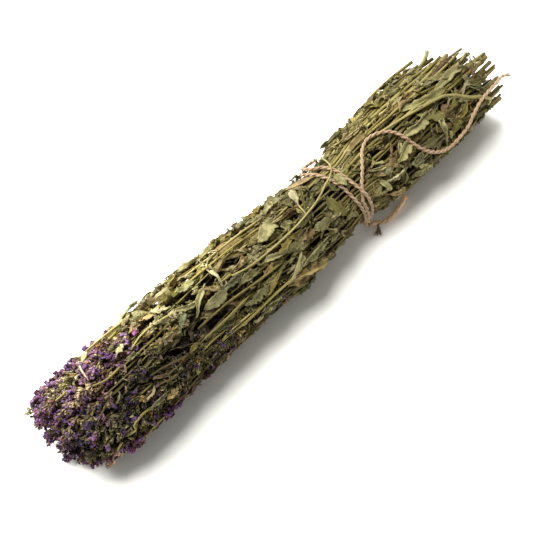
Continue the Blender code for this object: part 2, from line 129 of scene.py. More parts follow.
# The twine's way round the bundle, as angle in degrees, x and radius over the bundle's
FIRST_TURN = (
    (0, 0.0430, 1.10), (30, 0.0405, 1.09), (54, 0.0425, 1.08), (69, 0.0448, 1.08),
    (88, 0.0468, 1.08), (107, 0.0491, 1.08), (136, 0.0516, 1.08), (155, 0.0539, 1.09),
    (179, 0.0565, 1.10), (205, 0.0590, 1.12), (240, 0.0575, 1.10), (270, 0.0550, 1.09),
    (300, 0.0515, 1.09), (330, 0.0470, 1.10),
)
SECOND_TURN = (
    (8, 0.0655, 1.16), (14, 0.0610, 1.20), (17, 0.0550, 1.22), (24, 0.0485, 1.22),
    (38, 0.0450, 1.19), (53, 0.0475, 1.15), (64, 0.0530, 1.11), (85, 0.0560, 1.10),
    (110, 0.0569, 1.13), (124, 0.0581, 1.19), (137, 0.0597, 1.23), (150, 0.0612, 1.18),
    (169, 0.0630, 1.12), (190, 0.0635, 1.11), (210, 0.0625, 1.12), (240, 0.0635, 1.10),
    (270, 0.0645, 1.10), (300, 0.0660, 1.10), (335, 0.0680, 1.12),
)
KNOT_PLACE = (206, 0.0607, 1.20)
KNOT_RADIUS, KNOT_TURNS, KNOT_POINTS = 0.0026, 1.6, 44
TAIL_FROM_KNOT = (
    KNOT_PLACE, (195, 0.0600, 1.16), (180, 0.0590, 1.14), (165, 0.0580, 1.12),
    (149.7, 0.0570, 1.08),
)
# The tails' routes as points
LONG_TAIL = (
    (0.0570, -0.0239, 0.0456), (0.0602, -0.0200, 0.0508), (0.0645, -0.0153, 0.0550),
    (0.0700, -0.0102, 0.0590), (0.0758, -0.0044, 0.0613), (0.0818, 0.0008, 0.0626),
    (0.0894, 0.0039, 0.0635), (0.0960, 0.0030, 0.0643), (0.1029, -0.0005, 0.0647),
    (0.1080, -0.0053, 0.0642), (0.1114, -0.0120, 0.0624), (0.1144, -0.0193, 0.0584),
    (0.1189, -0.0256, 0.0529), (0.1257, -0.0300, 0.0468), (0.1348, -0.0328, 0.0415),
    (0.1454, -0.0338, 0.0392), (0.1572, -0.0332, 0.0407), (0.1665, -0.0322, 0.0430),
    (0.1752, -0.0294, 0.0472), (0.1852, -0.0268, 0.0508), (0.1950, -0.0256, 0.0524),
    (0.2053, -0.0248, 0.0530), (0.2143, -0.0236, 0.0532), (0.2235, -0.0262, 0.0500),
)
SHORT_TAIL = (
    (0.0655, -0.0285, 0.0150), (0.0690, -0.0270, 0.0090), (0.0735, -0.0262, 0.0040),
    (0.0778, -0.0282, 0.0022), (0.0830, -0.0298, 0.0020), (0.0890, -0.0296, 0.0021),
    (0.0945, -0.0290, 0.0025), (0.0998, -0.0281, 0.0032), (0.1045, -0.0268, 0.0042),
    (0.1072, -0.0260, 0.0050),
)
STUB = ((0.0722, -0.0294, 0.0026), (0.0700, -0.0318, 0.0022), (0.0672, -0.0338, 0.0020))
STUB_JOINS = (0.0748, -0.0266, 0.0034)

# What the photograph shows one by one. Each route is a row of pixels, with the share of the
# bundle's radius at which that pixel's point lies.
PIXEL_SIZE = 0.00072
# Leaves from stalk to tip: route, width in pixels, form and colour
LEAVES_SEEN = (
    (((276, 216, 1.09), (268, 230, 1.12), (258, 243, 1.10)), 16, "open", "light"),
    (((299, 206, 1.08), (294, 197, 1.12), (289, 190, 1.10)), 9, "open", "pale"),
    (((311, 226, 1.08), (306, 236, 1.12), (300, 245, 1.10)), 15, "crumpled", "brown"),
    (((330, 235, 1.06), (316, 250, 1.12), (301, 268, 1.10)), 12, "folded", "grey_green"),
    (((331, 256, 1.04), (314, 268, 1.10), (296, 279, 1.10)), 14, "folded", "wheat"),
    (((318, 270, 1.02), (306, 284, 1.08), (293, 297, 1.06)), 13, "folded", "moss"),
    (((265, 246, 1.08), (258, 250, 1.12), (251, 254, 1.10)), 6, "rolled", "pale"),
    (((250, 251, 1.08), (246, 250, 1.13), (242, 248, 1.10)), 4, "rolled", "rust"),
    (((286, 193, 1.02), (276, 198, 1.07), (264, 204, 1.05)), 10, "crumpled", "grey_green"),
    (((279, 201, 1.04), (269, 208, 1.10), (260, 216, 1.08)), 10, "crumpled", "light"),
    (((240, 226, 1.00), (230, 234, 1.05), (220, 243, 1.03)), 10, "crumpled", "olive"),
    (((252, 216, 1.00), (243, 224, 1.05), (233, 231, 1.03)), 10, "crumpled", "grey_green"),
    (((222, 240, 1.00), (213, 248, 1.05), (205, 256, 1.03)), 10, "crumpled", "olive"),
    (((206, 252, 1.00), (196, 261, 1.05), (187, 268, 1.03)), 10, "crumpled", "grey_green"),
    (((182, 272, 1.00), (172, 280, 1.05), (162, 288, 1.03)), 10, "crumpled", "olive"),
    (((164, 286, 1.00), (155, 294, 1.05), (146, 300, 1.03)), 9, "folded", "grey_green"),
    (((300, 205, 1.00), (288, 214, 1.07), (276, 223, 1.05)), 8, "folded", "brown"),
    (((244, 272, 1.02), (233, 281, 1.09), (222, 291, 1.06)), 9, "folded", "sage"),
    (((247, 257, 1.08), (240, 263, 1.12), (234, 269, 1.08)), 9, "crumpled", "tan"),
    (((207, 270, 1.08), (217, 276, 1.12), (223, 287, 1.10)), 7, "rolled", "pale"),
    (((205, 284, 1.08), (199, 300, 1.12), (197, 318, 1.10)), 8, "folded", "light"),
    (((229, 288, 1.08), (217, 300, 1.12), (204, 310, 1.10)), 13, "open", "light"),
    (((273, 281, 1.08), (260, 293, 1.12), (245, 306, 1.10)), 13, "open", "grey_green"),
    (((300, 184, 1.08), (303, 197, 1.13), (305, 209, 1.10)), 8, "folded", "olive"),
    (((332, 219, 1.08), (322, 225, 1.14), (313, 230, 1.10)), 13, "open", "grey_green"),
    (((266, 204, 1.05), (257, 211, 1.10), (247, 220, 1.08)), 8, "crumpled", "yellow"),
    (((217, 243, 1.04), (206, 254, 1.08), (196, 264, 1.06)), 8, "rolled", "light"),
    (((200, 258, 1.05), (188, 266, 1.10), (176, 273, 1.08)), 10, "folded", "light"),
    (((349, 130, 1.02), (335, 139, 1.10), (318, 150, 1.12)), 10, "crumpled", "moss"),
    (((361, 131, 1.00), (344, 141, 1.06), (326, 151, 1.08)), 7, "folded", "tan"),
    (((334, 173, 1.16), (340, 179, 1.20), (347, 185, 1.20)), 11, "open", "light"),
    (((327, 184, 1.12), (333, 189, 1.14), (338, 193, 1.12)), 9, "rolled", "moss"),
    (((324, 197, 1.10), (335, 206, 1.15), (347, 215, 1.12)), 13, "open", "olive"),
    (((289, 181, 1.02), (298, 177, 1.10), (308, 171, 1.08)), 8, "crumpled", "moss"),
    (((330, 155, 1.00), (322, 163, 1.06), (314, 171, 1.04)), 9, "crumpled", "moss"),
    (((179, 291, 1.00), (169, 298, 1.04), (159, 305, 1.02)), 11, "crumpled", "olive"),
    (((196, 280, 1.00), (186, 287, 1.05), (177, 294, 1.02)), 9, "folded", "grey_green"),
    (((299, 240, 1.08), (294, 238, 1.13), (289, 238, 1.10)), 6, "rolled", "yellow"),
    (((262, 264, 1.08), (272, 258, 1.12), (283, 254, 1.10)), 9, "folded", "light"),
    (((284, 292, 1.04), (272, 303, 1.10), (262, 315, 1.08)), 10, "folded", "grey_green"),
    (((437, 108, 1.02), (442, 126, 1.09), (447, 146, 1.08)), 10, "folded", "light"),
    (((432, 109, 1.04), (417, 124, 1.12), (402, 139, 1.09)), 19, "folded", "light"),
    (((411, 138, 1.04), (404, 150, 1.11), (398, 163, 1.09)), 17, "folded", "light"),
    (((468, 65, 1.00), (452, 73, 1.07), (434, 92, 1.06)), 12, "folded", "light"),
    (((450, 84, 1.02), (431, 98, 1.08), (401, 112, 1.05)), 12, "folded", "spring"),
    (((412, 85, 1.02), (422, 86, 1.08), (431, 86, 1.06)), 10, "crumpled", "light"),
    (((486, 94, 0.98), (476, 88, 1.07), (466, 85, 1.06)), 12, "crumpled", "sage"),
    (((469, 60, 0.98), (472, 71, 1.04), (475, 83, 1.04)), 5, "folded", "calyx_brown"),
    (((453, 101, 1.02), (462, 99, 1.08), (471, 98, 1.08)), 8, "open", "light"),
    (((441, 102, 1.00), (447, 111, 1.06), (454, 120, 1.04)), 13, "open", "brown"),
    (((464, 99, 1.00), (457, 118, 1.06), (450, 139, 1.06)), 12, "folded", "olive"),
    (((391, 144, 1.06), (391, 151, 1.12), (392, 159, 1.08)), 5, "rolled", "rust"),
    (((406, 167, 1.02), (397, 176, 1.12), (386, 182, 1.10)), 8, "rolled", "pale"),
    (((378, 179, 1.04), (385, 185, 1.12), (392, 190, 1.10)), 9, "folded", "light"),
    (((388, 165, 1.02), (388, 170, 1.10), (388, 176, 1.08)), 7, "open", "sage"),
    (((424, 150, 0.98), (419, 157, 1.04), (412, 165, 1.05)), 14, "open", "sage"),
    (((414, 166, 1.00), (423, 166, 1.08), (431, 169, 1.08)), 9, "open", "light"),
    (((392, 163, 1.04), (381, 168, 1.10), (368, 171, 1.08)), 6, "rolled", "light"),
    (((455, 136, 0.98), (443, 150, 1.06), (434, 160, 1.06)), 10, "crumpled", "olive"),
    (((85, 352, 1.04), (84, 358, 1.10), (81, 364, 1.08)), 8, "open", "light"),
    (((140, 353, 1.04), (132, 357, 1.09), (125, 361, 1.08)), 8, "crumpled", "grey_green"),
    (((170, 390, 1.04), (158, 400, 1.10), (149, 411, 1.08)), 8, "folded", "grey_green"),
    (((179, 388, 1.06), (173, 394, 1.12), (167, 400, 1.10)), 7, "folded", "wheat"),
    (((185, 311, 1.06), (183, 319, 1.12), (180, 327, 1.10)), 7, "open", "sage"),
    (((171, 307, 1.06), (160, 311, 1.12), (149, 313, 1.10)), 8, "crumpled", "pale"),
    (((199, 303, 1.06), (186, 308, 1.12), (172, 311, 1.10)), 8, "folded", "light"),
    (((168, 313, 1.06), (174, 316, 1.14), (179, 320, 1.10)), 9, "crumpled", "pale"),
    (((164, 321, 1.06), (157, 323, 1.12), (149, 327, 1.10)), 7, "crumpled", "pale"),
    (((126, 343, 1.06), (120, 350, 1.12), (116, 358, 1.10)), 8, "crumpled", "pale"),
    (((198, 343, 1.06), (194, 347, 1.12), (190, 352, 1.10)), 6, "open", "yellow"),
    (((220, 310, 0.98), (210, 314, 1.03), (199, 318, 1.00)), 9, "folded", "brown"),
    (((233, 315, 0.98), (224, 323, 1.03), (214, 332, 1.00)), 11, "crumpled", "moss"),
    (((262, 267, 0.98), (250, 276, 1.04), (238, 287, 1.02)), 11, "folded", "grey_green"),
    (((128, 311, 1.16), (131, 306, 1.18), (134, 302, 1.18)), 5, "folded", "grey_green"),
)
# Stems from cut end to tip: route, thickness in pixels at both ends and colour
STEMS_SEEN = (
    (((320, 157, 1.15), (330, 164, 1.24), (332, 174, 1.25), (326, 183, 1.24), (319, 196, 1.20),
      (305, 215, 1.14), (286, 236, 1.12), (253, 264, 1.11),
      (232, 276, 1.02)), 1.5, 2.3, "stem_light"),
    (((283, 261, 1.00), (272, 270, 1.09), (235, 299, 1.12), (205, 323, 1.10),
      (198, 329, 1.00)), 2.4, 1.8, "stem"),
    (((254, 292, 1.00), (246, 299, 1.09), (224, 322, 1.12), (196, 346, 1.04)), 2.6, 1.8, "stem"),
    (((298, 274, 1.00), (290, 281, 1.09), (249, 317, 1.10), (214, 347, 1.04)), 2.4, 1.8, "stem"),
    (((266, 214, 1.00), (258, 221, 1.07), (222, 247, 1.09),
      (184, 277, 1.04)), 2.2, 1.6, "stem_light"),
    (((268, 221, 1.00), (258, 229, 1.07), (230, 250, 1.09), (190, 281, 1.04)), 2.4, 1.8, "stem"),
    (((298, 205, 1.02), (276, 220, 1.09), (252, 240, 1.06),
      (240, 250, 1.00)), 2.2, 1.8, "stem_light"),
    (((299, 206, 1.10), (306, 214, 1.14), (311, 225, 1.06)), 1.6, 1.4, "stem_light"),
    (((118, 326, 1.00), (122, 317, 1.10), (129, 308, 1.16),
      (137, 301, 1.18)), 2.2, 1.8, "stem_light"),
    (((130, 309, 1.16), (133, 306, 1.17), (133, 303, 1.18)), 2.0, 1.4, "stem_light"),
    (((202, 298, 1.02), (190, 304, 1.10), (158, 320, 1.12), (140, 335, 1.12),
      (131, 350, 1.02)), 2.2, 1.8, "stem_light"),
    (((181, 323, 1.04), (173, 331, 1.12), (163, 340, 1.12),
      (150, 346, 1.04)), 2.0, 1.6, "stem_light"),
    (((146, 305, 1.00), (132, 314, 1.06), (118, 325, 1.08), (99, 340, 1.08),
      (85, 352, 1.04)), 2.2, 1.4, "stem_light"),
    (((79, 362, 1.04), (80, 367, 1.14), (83, 373, 1.16), (89, 381, 1.04)), 2.2, 1.6, "pith"),
    (((150, 408, 1.06), (141, 415, 1.12), (133, 425, 1.14), (135, 431, 1.12),
      (127, 436, 1.02)), 2.4, 1.6, "stem"),
    (((190, 354, 1.02), (176, 362, 1.10), (150, 376, 1.04)), 2.2, 1.6, "stem_dark"),
    (((199, 383, 1.00), (188, 392, 1.04), (177, 402, 1.06),
      (167, 415, 1.02)), 2.4, 1.6, "stem_brown"),
    (((268, 317, 1.00), (255, 330, 1.03), (242, 343, 1.04),
      (219, 362, 1.00)), 2.6, 1.8, "stem_brown"),
    (((262, 305, 1.00), (250, 314, 1.08), (233, 329, 1.08),
      (219, 343, 1.02)), 2.0, 1.6, "stem_light"),
    (((296, 240, 1.00), (284, 250, 1.07), (262, 268, 1.08),
      (246, 280, 1.00)), 2.2, 1.6, "stem_dark"),
    (((240, 318, 1.00), (222, 334, 1.05), (205, 350, 1.06), (190, 366, 1.00)), 2.0, 1.4, "stem"),
    (((427, 52, 1.02), (423, 61, 1.06), (418, 71, 0.90)), 4.8, 4.0, "stem_light"),
    (((412, 62, 1.02), (399, 72, 1.06), (386, 83, 1.10), (374, 94, 1.10), (366, 104, 1.06),
      (365, 113, 0.94)), 3.8, 2.8, "stem"),
    (((488, 104, 1.02), (491, 99, 1.10), (484, 96, 1.12), (470, 96, 1.12), (455, 95, 1.12),
      (440, 98, 1.10), (420, 107, 1.10), (400, 118, 1.09), (378, 133, 1.10),
      (366, 141, 1.04)), 3.6, 2.6, "stem_light"),
    (((500, 98, 0.98), (487, 109, 0.98), (474, 119, 0.94), (456, 132, 0.88)), 5.4, 4.6, "stem"),
    (((486, 57, 1.00), (478, 65, 1.00), (468, 75, 0.96), (452, 90, 0.90)), 5.0, 4.0, "stem"),
    (((490, 62, 0.94), (482, 70, 0.94), (470, 81, 0.90), (456, 94, 0.86)), 4.6, 4.0, "stem"),
    (((485, 71, 0.96), (476, 77, 0.98), (460, 92, 0.92)), 3.6, 3.0, "stem"),
    (((486, 77, 0.96), (476, 84, 0.98), (462, 96, 0.92)), 3.6, 3.0, "stem"),
    (((451, 57, 1.02), (441, 68, 1.06), (430, 80, 1.05), (412, 96, 0.98)), 3.6, 3.0, "calyx_brown"),
    (((458, 53, 1.02), (446, 66, 1.06), (428, 83, 1.06), (408, 100, 1.00)), 3.0, 2.4, "stem_light"),
    (((466, 53, 1.02), (460, 62, 1.05), (448, 74, 1.02)), 3.2, 2.6, "stem_light"),
    (((472, 63, 1.02), (470, 56, 1.08), (466, 54, 1.02)), 1.8, 1.4, "stem"),
    (((456, 58, 0.96), (440, 73, 0.97), (420, 92, 0.94)), 3.6, 3.0, "stem"),
    (((447, 61, 0.95), (432, 76, 0.96), (412, 95, 0.93)), 3.4, 3.0, "stem_dark"),
    (((462, 60, 0.93), (448, 72, 0.94), (430, 90, 0.92)), 3.8, 3.0, "stem"),
    (((440, 66, 0.90), (424, 82, 0.92), (404, 101, 0.90)), 4.0, 3.4, "stem_dark"),
    (((452, 66, 0.88), (436, 82, 0.90), (416, 101, 0.88)), 4.0, 3.4, "stem_brown"),
    (((488, 88, 0.92), (474, 101, 0.93), (455, 118, 0.90)), 4.0, 3.4, "stem"),
    (((482, 98, 0.90), (470, 108, 0.91), (452, 124, 0.88)), 4.0, 3.4, "stem_dark"),
    (((440, 92, 1.06), (420, 104, 1.08), (398, 122, 1.08),
      (374, 142, 1.02)), 2.8, 2.2, "stem_light"),
    (((404, 102, 1.06), (391, 115, 1.08), (372, 131, 1.08), (350, 150, 1.00)), 2.6, 2.2, "stem"),
    (((440, 57, 1.00), (425, 72, 1.05), (404, 91, 1.02), (386, 107, 0.98)), 3.2, 2.6, "stem"),
)
# Flower heads from their base to their tip: route, fullness and kind
SPIKES_SEEN = (
    (((120, 367, 1.04), (106, 380, 1.08), (84, 390, 1.08), (76, 400, 1.08),
      (58, 418, 1.04)), 0.95, "tan"),
    (((116, 332, 1.02), (100, 349, 1.08), (89, 364, 1.08), (80, 376, 1.04)), 1.05, "purple"),
    (((176, 406, 1.02), (160, 421, 1.08), (142, 440, 1.08), (134, 448, 1.02)), 1.00, "magenta"),
    (((122, 442, 1.02), (115, 455, 1.06), (109, 467, 1.04)), 0.95, "tan"),
    (((66, 392, 1.04), (52, 404, 1.08), (38, 414, 1.06)), 1.05, "purple"),
    (((110, 350, 1.00), (100, 362, 1.06), (92, 372, 1.05), (86, 380, 1.02)), 1.05, "mauve"),
    (((78, 416, 1.02), (70, 428, 1.08), (64, 440, 1.08), (62, 446, 1.02)), 1.00, "mauve"),
    (((112, 392, 1.02), (104, 408, 1.07), (97, 424, 1.07), (92, 446, 1.02)), 1.00, "purple"),
    (((98, 402, 1.04), (90, 420, 1.08), (84, 440, 1.06)), 1.00, "deep"),
    (((140, 325, 1.04), (128, 334, 1.08), (118, 346, 1.06)), 0.95, "mauve"),
    (((224, 338, 0.97), (212, 347, 1.02), (198, 358, 1.02), (186, 366, 1.00)), 0.95, "deep"),
    (((184, 368, 0.97), (174, 377, 1.02), (163, 388, 1.02), (152, 398, 1.00)), 1.00, "deep"),
    (((166, 348, 0.97), (156, 356, 1.02), (145, 368, 1.02), (132, 378, 1.00)), 1.00, "deep"),
    (((152, 384, 0.97), (141, 394, 1.02), (128, 402, 1.00)), 0.95, "deep"),
)
# Places without large leaves but those above: pixel and radius in pixels
CLEAR_PLACES = (
    (404, 92, 14), (398, 78, 12), (128, 360, 13), (128, 312, 12), (208, 349, 12), (493, 63, 10),
)
# Clumps of buds: pixel and share of the radius, spread in pixels, count and colours
CLUMPS_SEEN = (
    ((213, 241, 1.13), 4.5, 26, ("moss", "dark", "olive")),
    ((174, 271, 1.16), 5.0, 26, ("moss", "calyx_green", "olive")),
    ((166, 277, 1.16), 5.0, 24, ("calyx_green", "light", "moss")),
    ((158, 285, 1.14), 5.0, 22, ("calyx_tan", "light", "olive")),
    ((235, 227, 1.06), 3.5, 18, ("moss", "dark", "olive")),
    ((175, 316, 1.14), 3.0, 14, ("pale", "pale", "calyx_tan")),
    ((136, 304, 1.16), 3.0, 12, ("calyx_brown", "violet", "moss")),
    ((141, 302, 1.16), 2.4, 9, ("light", "calyx_tan")),
    ((141, 398, 1.10), 2.4, 7, ("orange", "orange", "calyx_tan")),
    ((81, 421, 1.10), 2.2, 6, ("orange", "calyx_tan")),
    ((172, 333, 1.10), 4.5, 16, ("calyx_tan", "tan", "orange")),
    ((196, 290, 1.10), 3.5, 12, ("light", "pale")),
    ((160, 318, 1.10), 4.5, 16, ("pale", "light", "calyx_green")),
    ((152, 330, 1.10), 4.5, 16, ("pale", "calyx_green", "tan")),
    ((338, 216, 1.16), 2.0, 6, ("pith", "pale")),
    ((238, 335, 1.06), 4.0, 14, ("orange", "calyx_tan", "violet")),
    ((277, 301, 1.06), 4.5, 14, ("deep_violet", "violet")),
    ((228, 331, 1.05), 5.0, 18, ("deep_violet", "violet", "lilac")),
    ((184, 326, 1.10), 4.0, 10, ("calyx_tan", "violet", "tan")),
    ((160, 343, 1.09), 5.0, 20, ("calyx_tan", "tan", "orange", "lilac")),
    ((150, 352, 1.08), 5.0, 18, ("deep_violet", "violet", "tan")),
    ((200, 355, 1.05), 5.0, 16, ("deep_violet", "calyx_mauve", "calyx_brown")),
    ((30, 413, 1.08), 3.0, 12, ("yellow", "calyx_green")),
)

# Colours as they look in the studio's bright light, as red, green and blue out of 255
BRIGHTNESS = 0.50
COLOURS = {
    "grey_green": (154, 150, 98),
    "light": (188, 180, 120),
    "pale": (208, 196, 148),
    "sage": (150, 156, 112),
    "spring": (170, 164, 102),
    "olive": (130, 122, 58),
    "moss": (92, 100, 52),
    "dark": (94, 90, 44),
    "brown": (142, 112, 72),
    "rust": (130, 80, 44),
    "tan": (184, 156, 104),
    "yellow": (174, 154, 72),
    "wheat": (196, 168, 104),
    "stem": (170, 154, 78),
    "stem_light": (196, 182, 110),
    "stem_dark": (124, 108, 50),
    "stem_brown": (128, 98, 54),
    "pith": (232, 216, 160),
    "violet": (119, 81, 130),
    # deep_violet is partly the flowers' own colour and partly painted shade
    "deep_violet": (70, 58, 92),
    "lilac": (150, 114, 146),
    "magenta": (134, 78, 112),
    "calyx": (186, 164, 122),
    "calyx_mauve": (164, 124, 122),
    "calyx_tan": (218, 190, 144),
    "calyx_brown": (124, 90, 66),
    "calyx_green": (172, 164, 104),
    "orange": (206, 140, 62),
    "twine": (242, 206, 162),
    "twine_dark": (192, 152, 110),
}


def linear(name):
    """A named colour, as seen in bright light, as linear red, green and blue."""
    return BRIGHTNESS * (np.array(COLOURS[name]) / 255.0) ** 2.2


def stacked(*parts):
    """The parts side by side along a last axis, each spread to the same shape."""
    return np.stack(np.broadcast_arrays(*parts), axis=-1)


def smooth_step(share):
    """A share from 0 to 1, eased at both ends."""
    return share * share * (3.0 - 2.0 * share)


def pick(draw, items):
    """One of the items, at random."""
    return items[draw.integers(0, len(items))]


# Places in the bundle

def outline(x):
    """The bundle's half-width, half-height and sideways centre at each x."""
    x = np.asarray(x, float)
    place = np.clip(np.searchsorted(PROFILE[:, 0], x) - 1, 0, len(PROFILE) - 2)
    start, end = PROFILE[place], PROFILE[place + 1]
    share = np.clip((x - start[..., 0]) / (end[..., 0] - start[..., 0]), 0.0, 1.0)
    values = start + (end - start) * smooth_step(share)[..., None]
    return values[..., 1], values[..., 2], values[..., 3]


def bundle_point(x, angle, radius):
    """Points at x, at angles round the bundle's axis and at shares of its radius."""
    half_width, half_height, centre = outline(x)
    y = centre + half_width * radius * np.cos(angle)
    z = CENTRE_HEIGHT + half_height * radius * np.sin(angle)
    return stacked(x, y, z)


def bundle_place(points):
    """The angles and the shares of the bundle's radius at which points lie."""
    half_width, half_height, centre = outline(points[..., 0])
    across = (points[..., 1] - centre) / half_width
    up = (points[..., 2] - CENTRE_HEIGHT) / half_height
    return np.arctan2(up, across), np.hypot(across, up)


def outward_at(points):
    """Unit vectors out of the bundle at points."""
    angle, _ = bundle_place(points)
    return stacked(0.0, np.cos(angle), np.sin(angle))


LEAF_TOP, SEEN_TOP, FLORET_TOP = 1.10, 1.20, 1.12
TIED_DOWN, TIED_REACH = 0.10, 0.016
TOP_SOFTNESS = 0.05


def top_at(x):
    """How far out leaves may stand at x: less under the twine."""
    return LEAF_TOP - TIED_DOWN * np.exp(-(((x - TIE_X) / TIED_REACH) ** 4))


def pressed(points, top=None):
    """The points, with what stands out past the bundle's top eased back towards it."""
    angle, radius = bundle_place(points)
    limit = top_at(points[..., 0]) if top is None else top
    over = np.maximum(radius - limit, 0.0)
    eased = np.minimum(radius, limit) + over / (1.0 + over / TOP_SOFTNESS)
    points = bundle_point(points[..., 0], angle, eased)
    points[..., 2] = np.maximum(points[..., 2], FLOOR_GAP + 0.1 * np.maximum(-points[..., 2], 0.0))
    return points


def cell_edge(ring, index, x):
    """The angle of a cell's wall at x."""
    step = math.tau / ring["sprigs"]
    phase = 2.4 * (index % ring["sprigs"]) + 5.0 * ring["inner"]
    sway = SWAY * step * np.sin(math.tau * x / SWAY_LENGTH + phase)
    return index * step + sway + TWIST * x / (CUT_END - FLOWER_END)


def cell_place(ring, index, x, across, depth):
    """The angle and radius of a place in a cell: across -1 to 1, depth 0 to 1."""
    low, high = cell_edge(ring, index, x), cell_edge(ring, index + 1, x)
    radius = ring["inner"] + depth * (ring["outer"] - ring["inner"])
    return (low + high) / 2.0 + across * (high - low) / 2.0, radius


def cut_at(angle, radius):
    """Where stems are cut: the bunch's end is trimmed at a slant."""
    turned = np.clip(np.cos(angle - CUT_SLANT_ANGLE), 0.0, 1.0)
    return CUT_END - CUT_SLANT * radius * turned**CUT_SLANT_POWER


def cell_at(x, angle):
    """The number of the outer cell at an angle."""
    ring = RINGS[0]
    for index in range(ring["sprigs"]):
        low, high = cell_edge(ring, index, x), cell_edge(ring, index + 1, x)
        if (angle - low) % math.tau < (high - low) % math.tau:
            return index
    return 0


# The view, and the places that the photograph's pixels show

# Rays are followed from this height down to the floor
RAY_TOP, RAY_POINTS = 0.09, 900


def view_axes():
    """The camera's unit vectors to its right, upwards and backwards."""
    level = math.cos(CAMERA_ELEVATION)
    back = np.array((
        math.sin(CAMERA_AZIMUTH) * level,
        -math.cos(CAMERA_AZIMUTH) * level,
        math.sin(CAMERA_ELEVATION),
    ))
    right = np.array((math.cos(CAMERA_AZIMUTH), math.sin(CAMERA_AZIMUTH), 0.0))
    return right, np.cross(back, right), back


RIGHT, UP, BACK = view_axes()
EYE = CAMERA_TARGET + BACK * CAMERA_DISTANCE


def seen_at(pixel, radius):
    """x, angle and radius where the ray through a pixel meets the bundle, or passes nearest."""
    offset = np.array(pixel) - FRAME_PIXELS / 2.0
    ray = RIGHT * offset[0] / FOCAL_PIXELS - UP * offset[1] / FOCAL_PIXELS - BACK
    reach = np.linspace((RAY_TOP - EYE[2]) / ray[2], -EYE[2] / ray[2], RAY_POINTS)
    points = EYE + reach[:, None] * ray
    angle, share = bundle_place(points)
    met = np.argmax(share <= radius) if (share <= radius).any() else np.argmin(share)
    return points[met, 0], angle[met] % math.tau, max(share[met], radius)


def seen_route(route, step):
    """A smooth route through the places that the photograph's pixels show."""
    return smooth_route([bundle_point(*seen_at(point[:2], point[2])) for point in route], step)


# Building meshes from rows of points

@functools.lru_cache(maxsize=None)
def sleeve_faces(rows, sides):
    """Four-sided faces of a closed sleeve, with both ends capped."""
    row, side = np.meshgrid(np.arange(rows - 1), np.arange(sides), indexing="ij")
    start = row * sides + side
    right = row * sides + (side + 1) % sides
    walls = np.stack((start, start + sides, right + sides, right), axis=-1).reshape(-1, 4)
    pair = np.arange(sides // 2 - 1)
    cap = np.stack((pair, pair + 1, sides - 2 - pair, sides - 1 - pair), axis=-1)
    end = cap[:, ::-1] + (rows - 1) * sides
    return np.concatenate((walls, cap, end))


# The radii between which plants come out of the painted shade, and how light the darkest ones are
SHADE_FROM, SHADE_TO, SHADE_LEAST = 0.79, 1.03, 0.08
# The lower side gets deeper painted shade with more contrast, but is painted lighter at some x
LOWER_SIDE, LOWER_DEPTH, LOWER_CONTRAST = math.radians(185.0), 0.05, 1.8
LOWER_LIGHT = ((-0.215, -0.170, -0.140, -0.110, -0.060), (0.55, 0.20, 0.00, 0.10, 0.26))
# How plants are painted at each x: with painted light on the upper side, and painted shade along
# the middle
PAINTED_LIGHT_ALONG = ((-0.22, -0.16, -0.12, -0.08, -0.05, -0.02, 0.04, 0.10, 0.15, 0.19),
              (1.30, 1.42, 1.70, 1.78, 1.56, 0.98, 0.86, 1.14, 1.02, 0.66))
PAINTED_SHADE_ALONG = ((-0.22, -0.16, -0.10, -0.06, -0.02, 0.03, 0.06, 0.10, 0.15, 0.21),
                (0.62, 0.54, 0.48, 0.66, 0.80, 0.80, 1.10, 1.00, 0.84, 0.78))
PAINTED_LIGHT_ANGLE, PAINTED_LIGHT_REACH, PAINTED_LIGHT_SOFTNESS = (math.radians(angle) for angle in (30.0, 98.0, 22.0))
PAINTED_SHADE_ANGLE, PAINTED_SHADE_REACH = math.radians(118.0), math.radians(24.0)
# How much the inside's painted shade lifts by the distance from the bundle's ends
OPEN_ENDS = ((0.006, 0.034), (0.72, 0.0))


def painted_depth_shade(points):
    """Painted shade: darker towards the inside of the bundle and on its lower side."""
    angle, radius = bundle_place(points)
    lower = np.clip(np.cos(angle - LOWER_SIDE), 0.0, 1.0)
    radius = radius - LOWER_DEPTH * lower
    share = np.clip((radius - SHADE_FROM) / (SHADE_TO - SHADE_FROM), 0.0, 1.0)
    gap = np.minimum(cut_at(angle, radius) - points[:, 0], points[:, 0] - FLOWER_END)
    share = np.maximum(share, np.interp(gap, *OPEN_ENDS))
    share = smooth_step(share) ** (1.0 + LOWER_CONTRAST * lower)
    # Painted light that lifts the lower side at some x
    light = 1.0 + np.interp(points[:, 0], *LOWER_LIGHT) * lower
    return (SHADE_LEAST + (1.0 - SHADE_LEAST) * share) * light


def painted_light_and_shade(points):
    """Painted light and shade round and along the bunch: lighter on the upper side, darker along
    the middle.
    """
    angle, _ = bundle_place(points)
    angle = np.where(angle < -math.pi / 2.0, angle + math.tau, angle)
    # Painted light on the upper side
    lit_side = (PAINTED_LIGHT_REACH - np.abs(angle - PAINTED_LIGHT_ANGLE)) / PAINTED_LIGHT_SOFTNESS
    lit_side = np.clip(lit_side, 0.0, 1.0)
    # Painted shade along the middle
    shaded_middle = np.exp(-(((angle - PAINTED_SHADE_ANGLE) / PAINTED_SHADE_REACH) ** 2))
    light = 1.0 + lit_side * (1.0 - shaded_middle) * (np.interp(points[:, 0], *PAINTED_LIGHT_ALONG) - 1.0)
    return light * (1.0 + shaded_middle * (np.interp(points[:, 0], *PAINTED_SHADE_ALONG) - 1.0))


OUT_OF_FLOOR = np.array((0.0, 0.0, 1.02))


def add_object(name, data, back=None):
    """A new object in the scene, turned so that its +Z points back where that is given."""
    added = bpy.data.objects.new(name, data)
    if back is not None:
        added.rotation_mode = "QUATERNION"
        added.rotation_quaternion = Vector(back).to_track_quat("Z", "Y")
    bpy.context.scene.collection.objects.link(added)
    return added


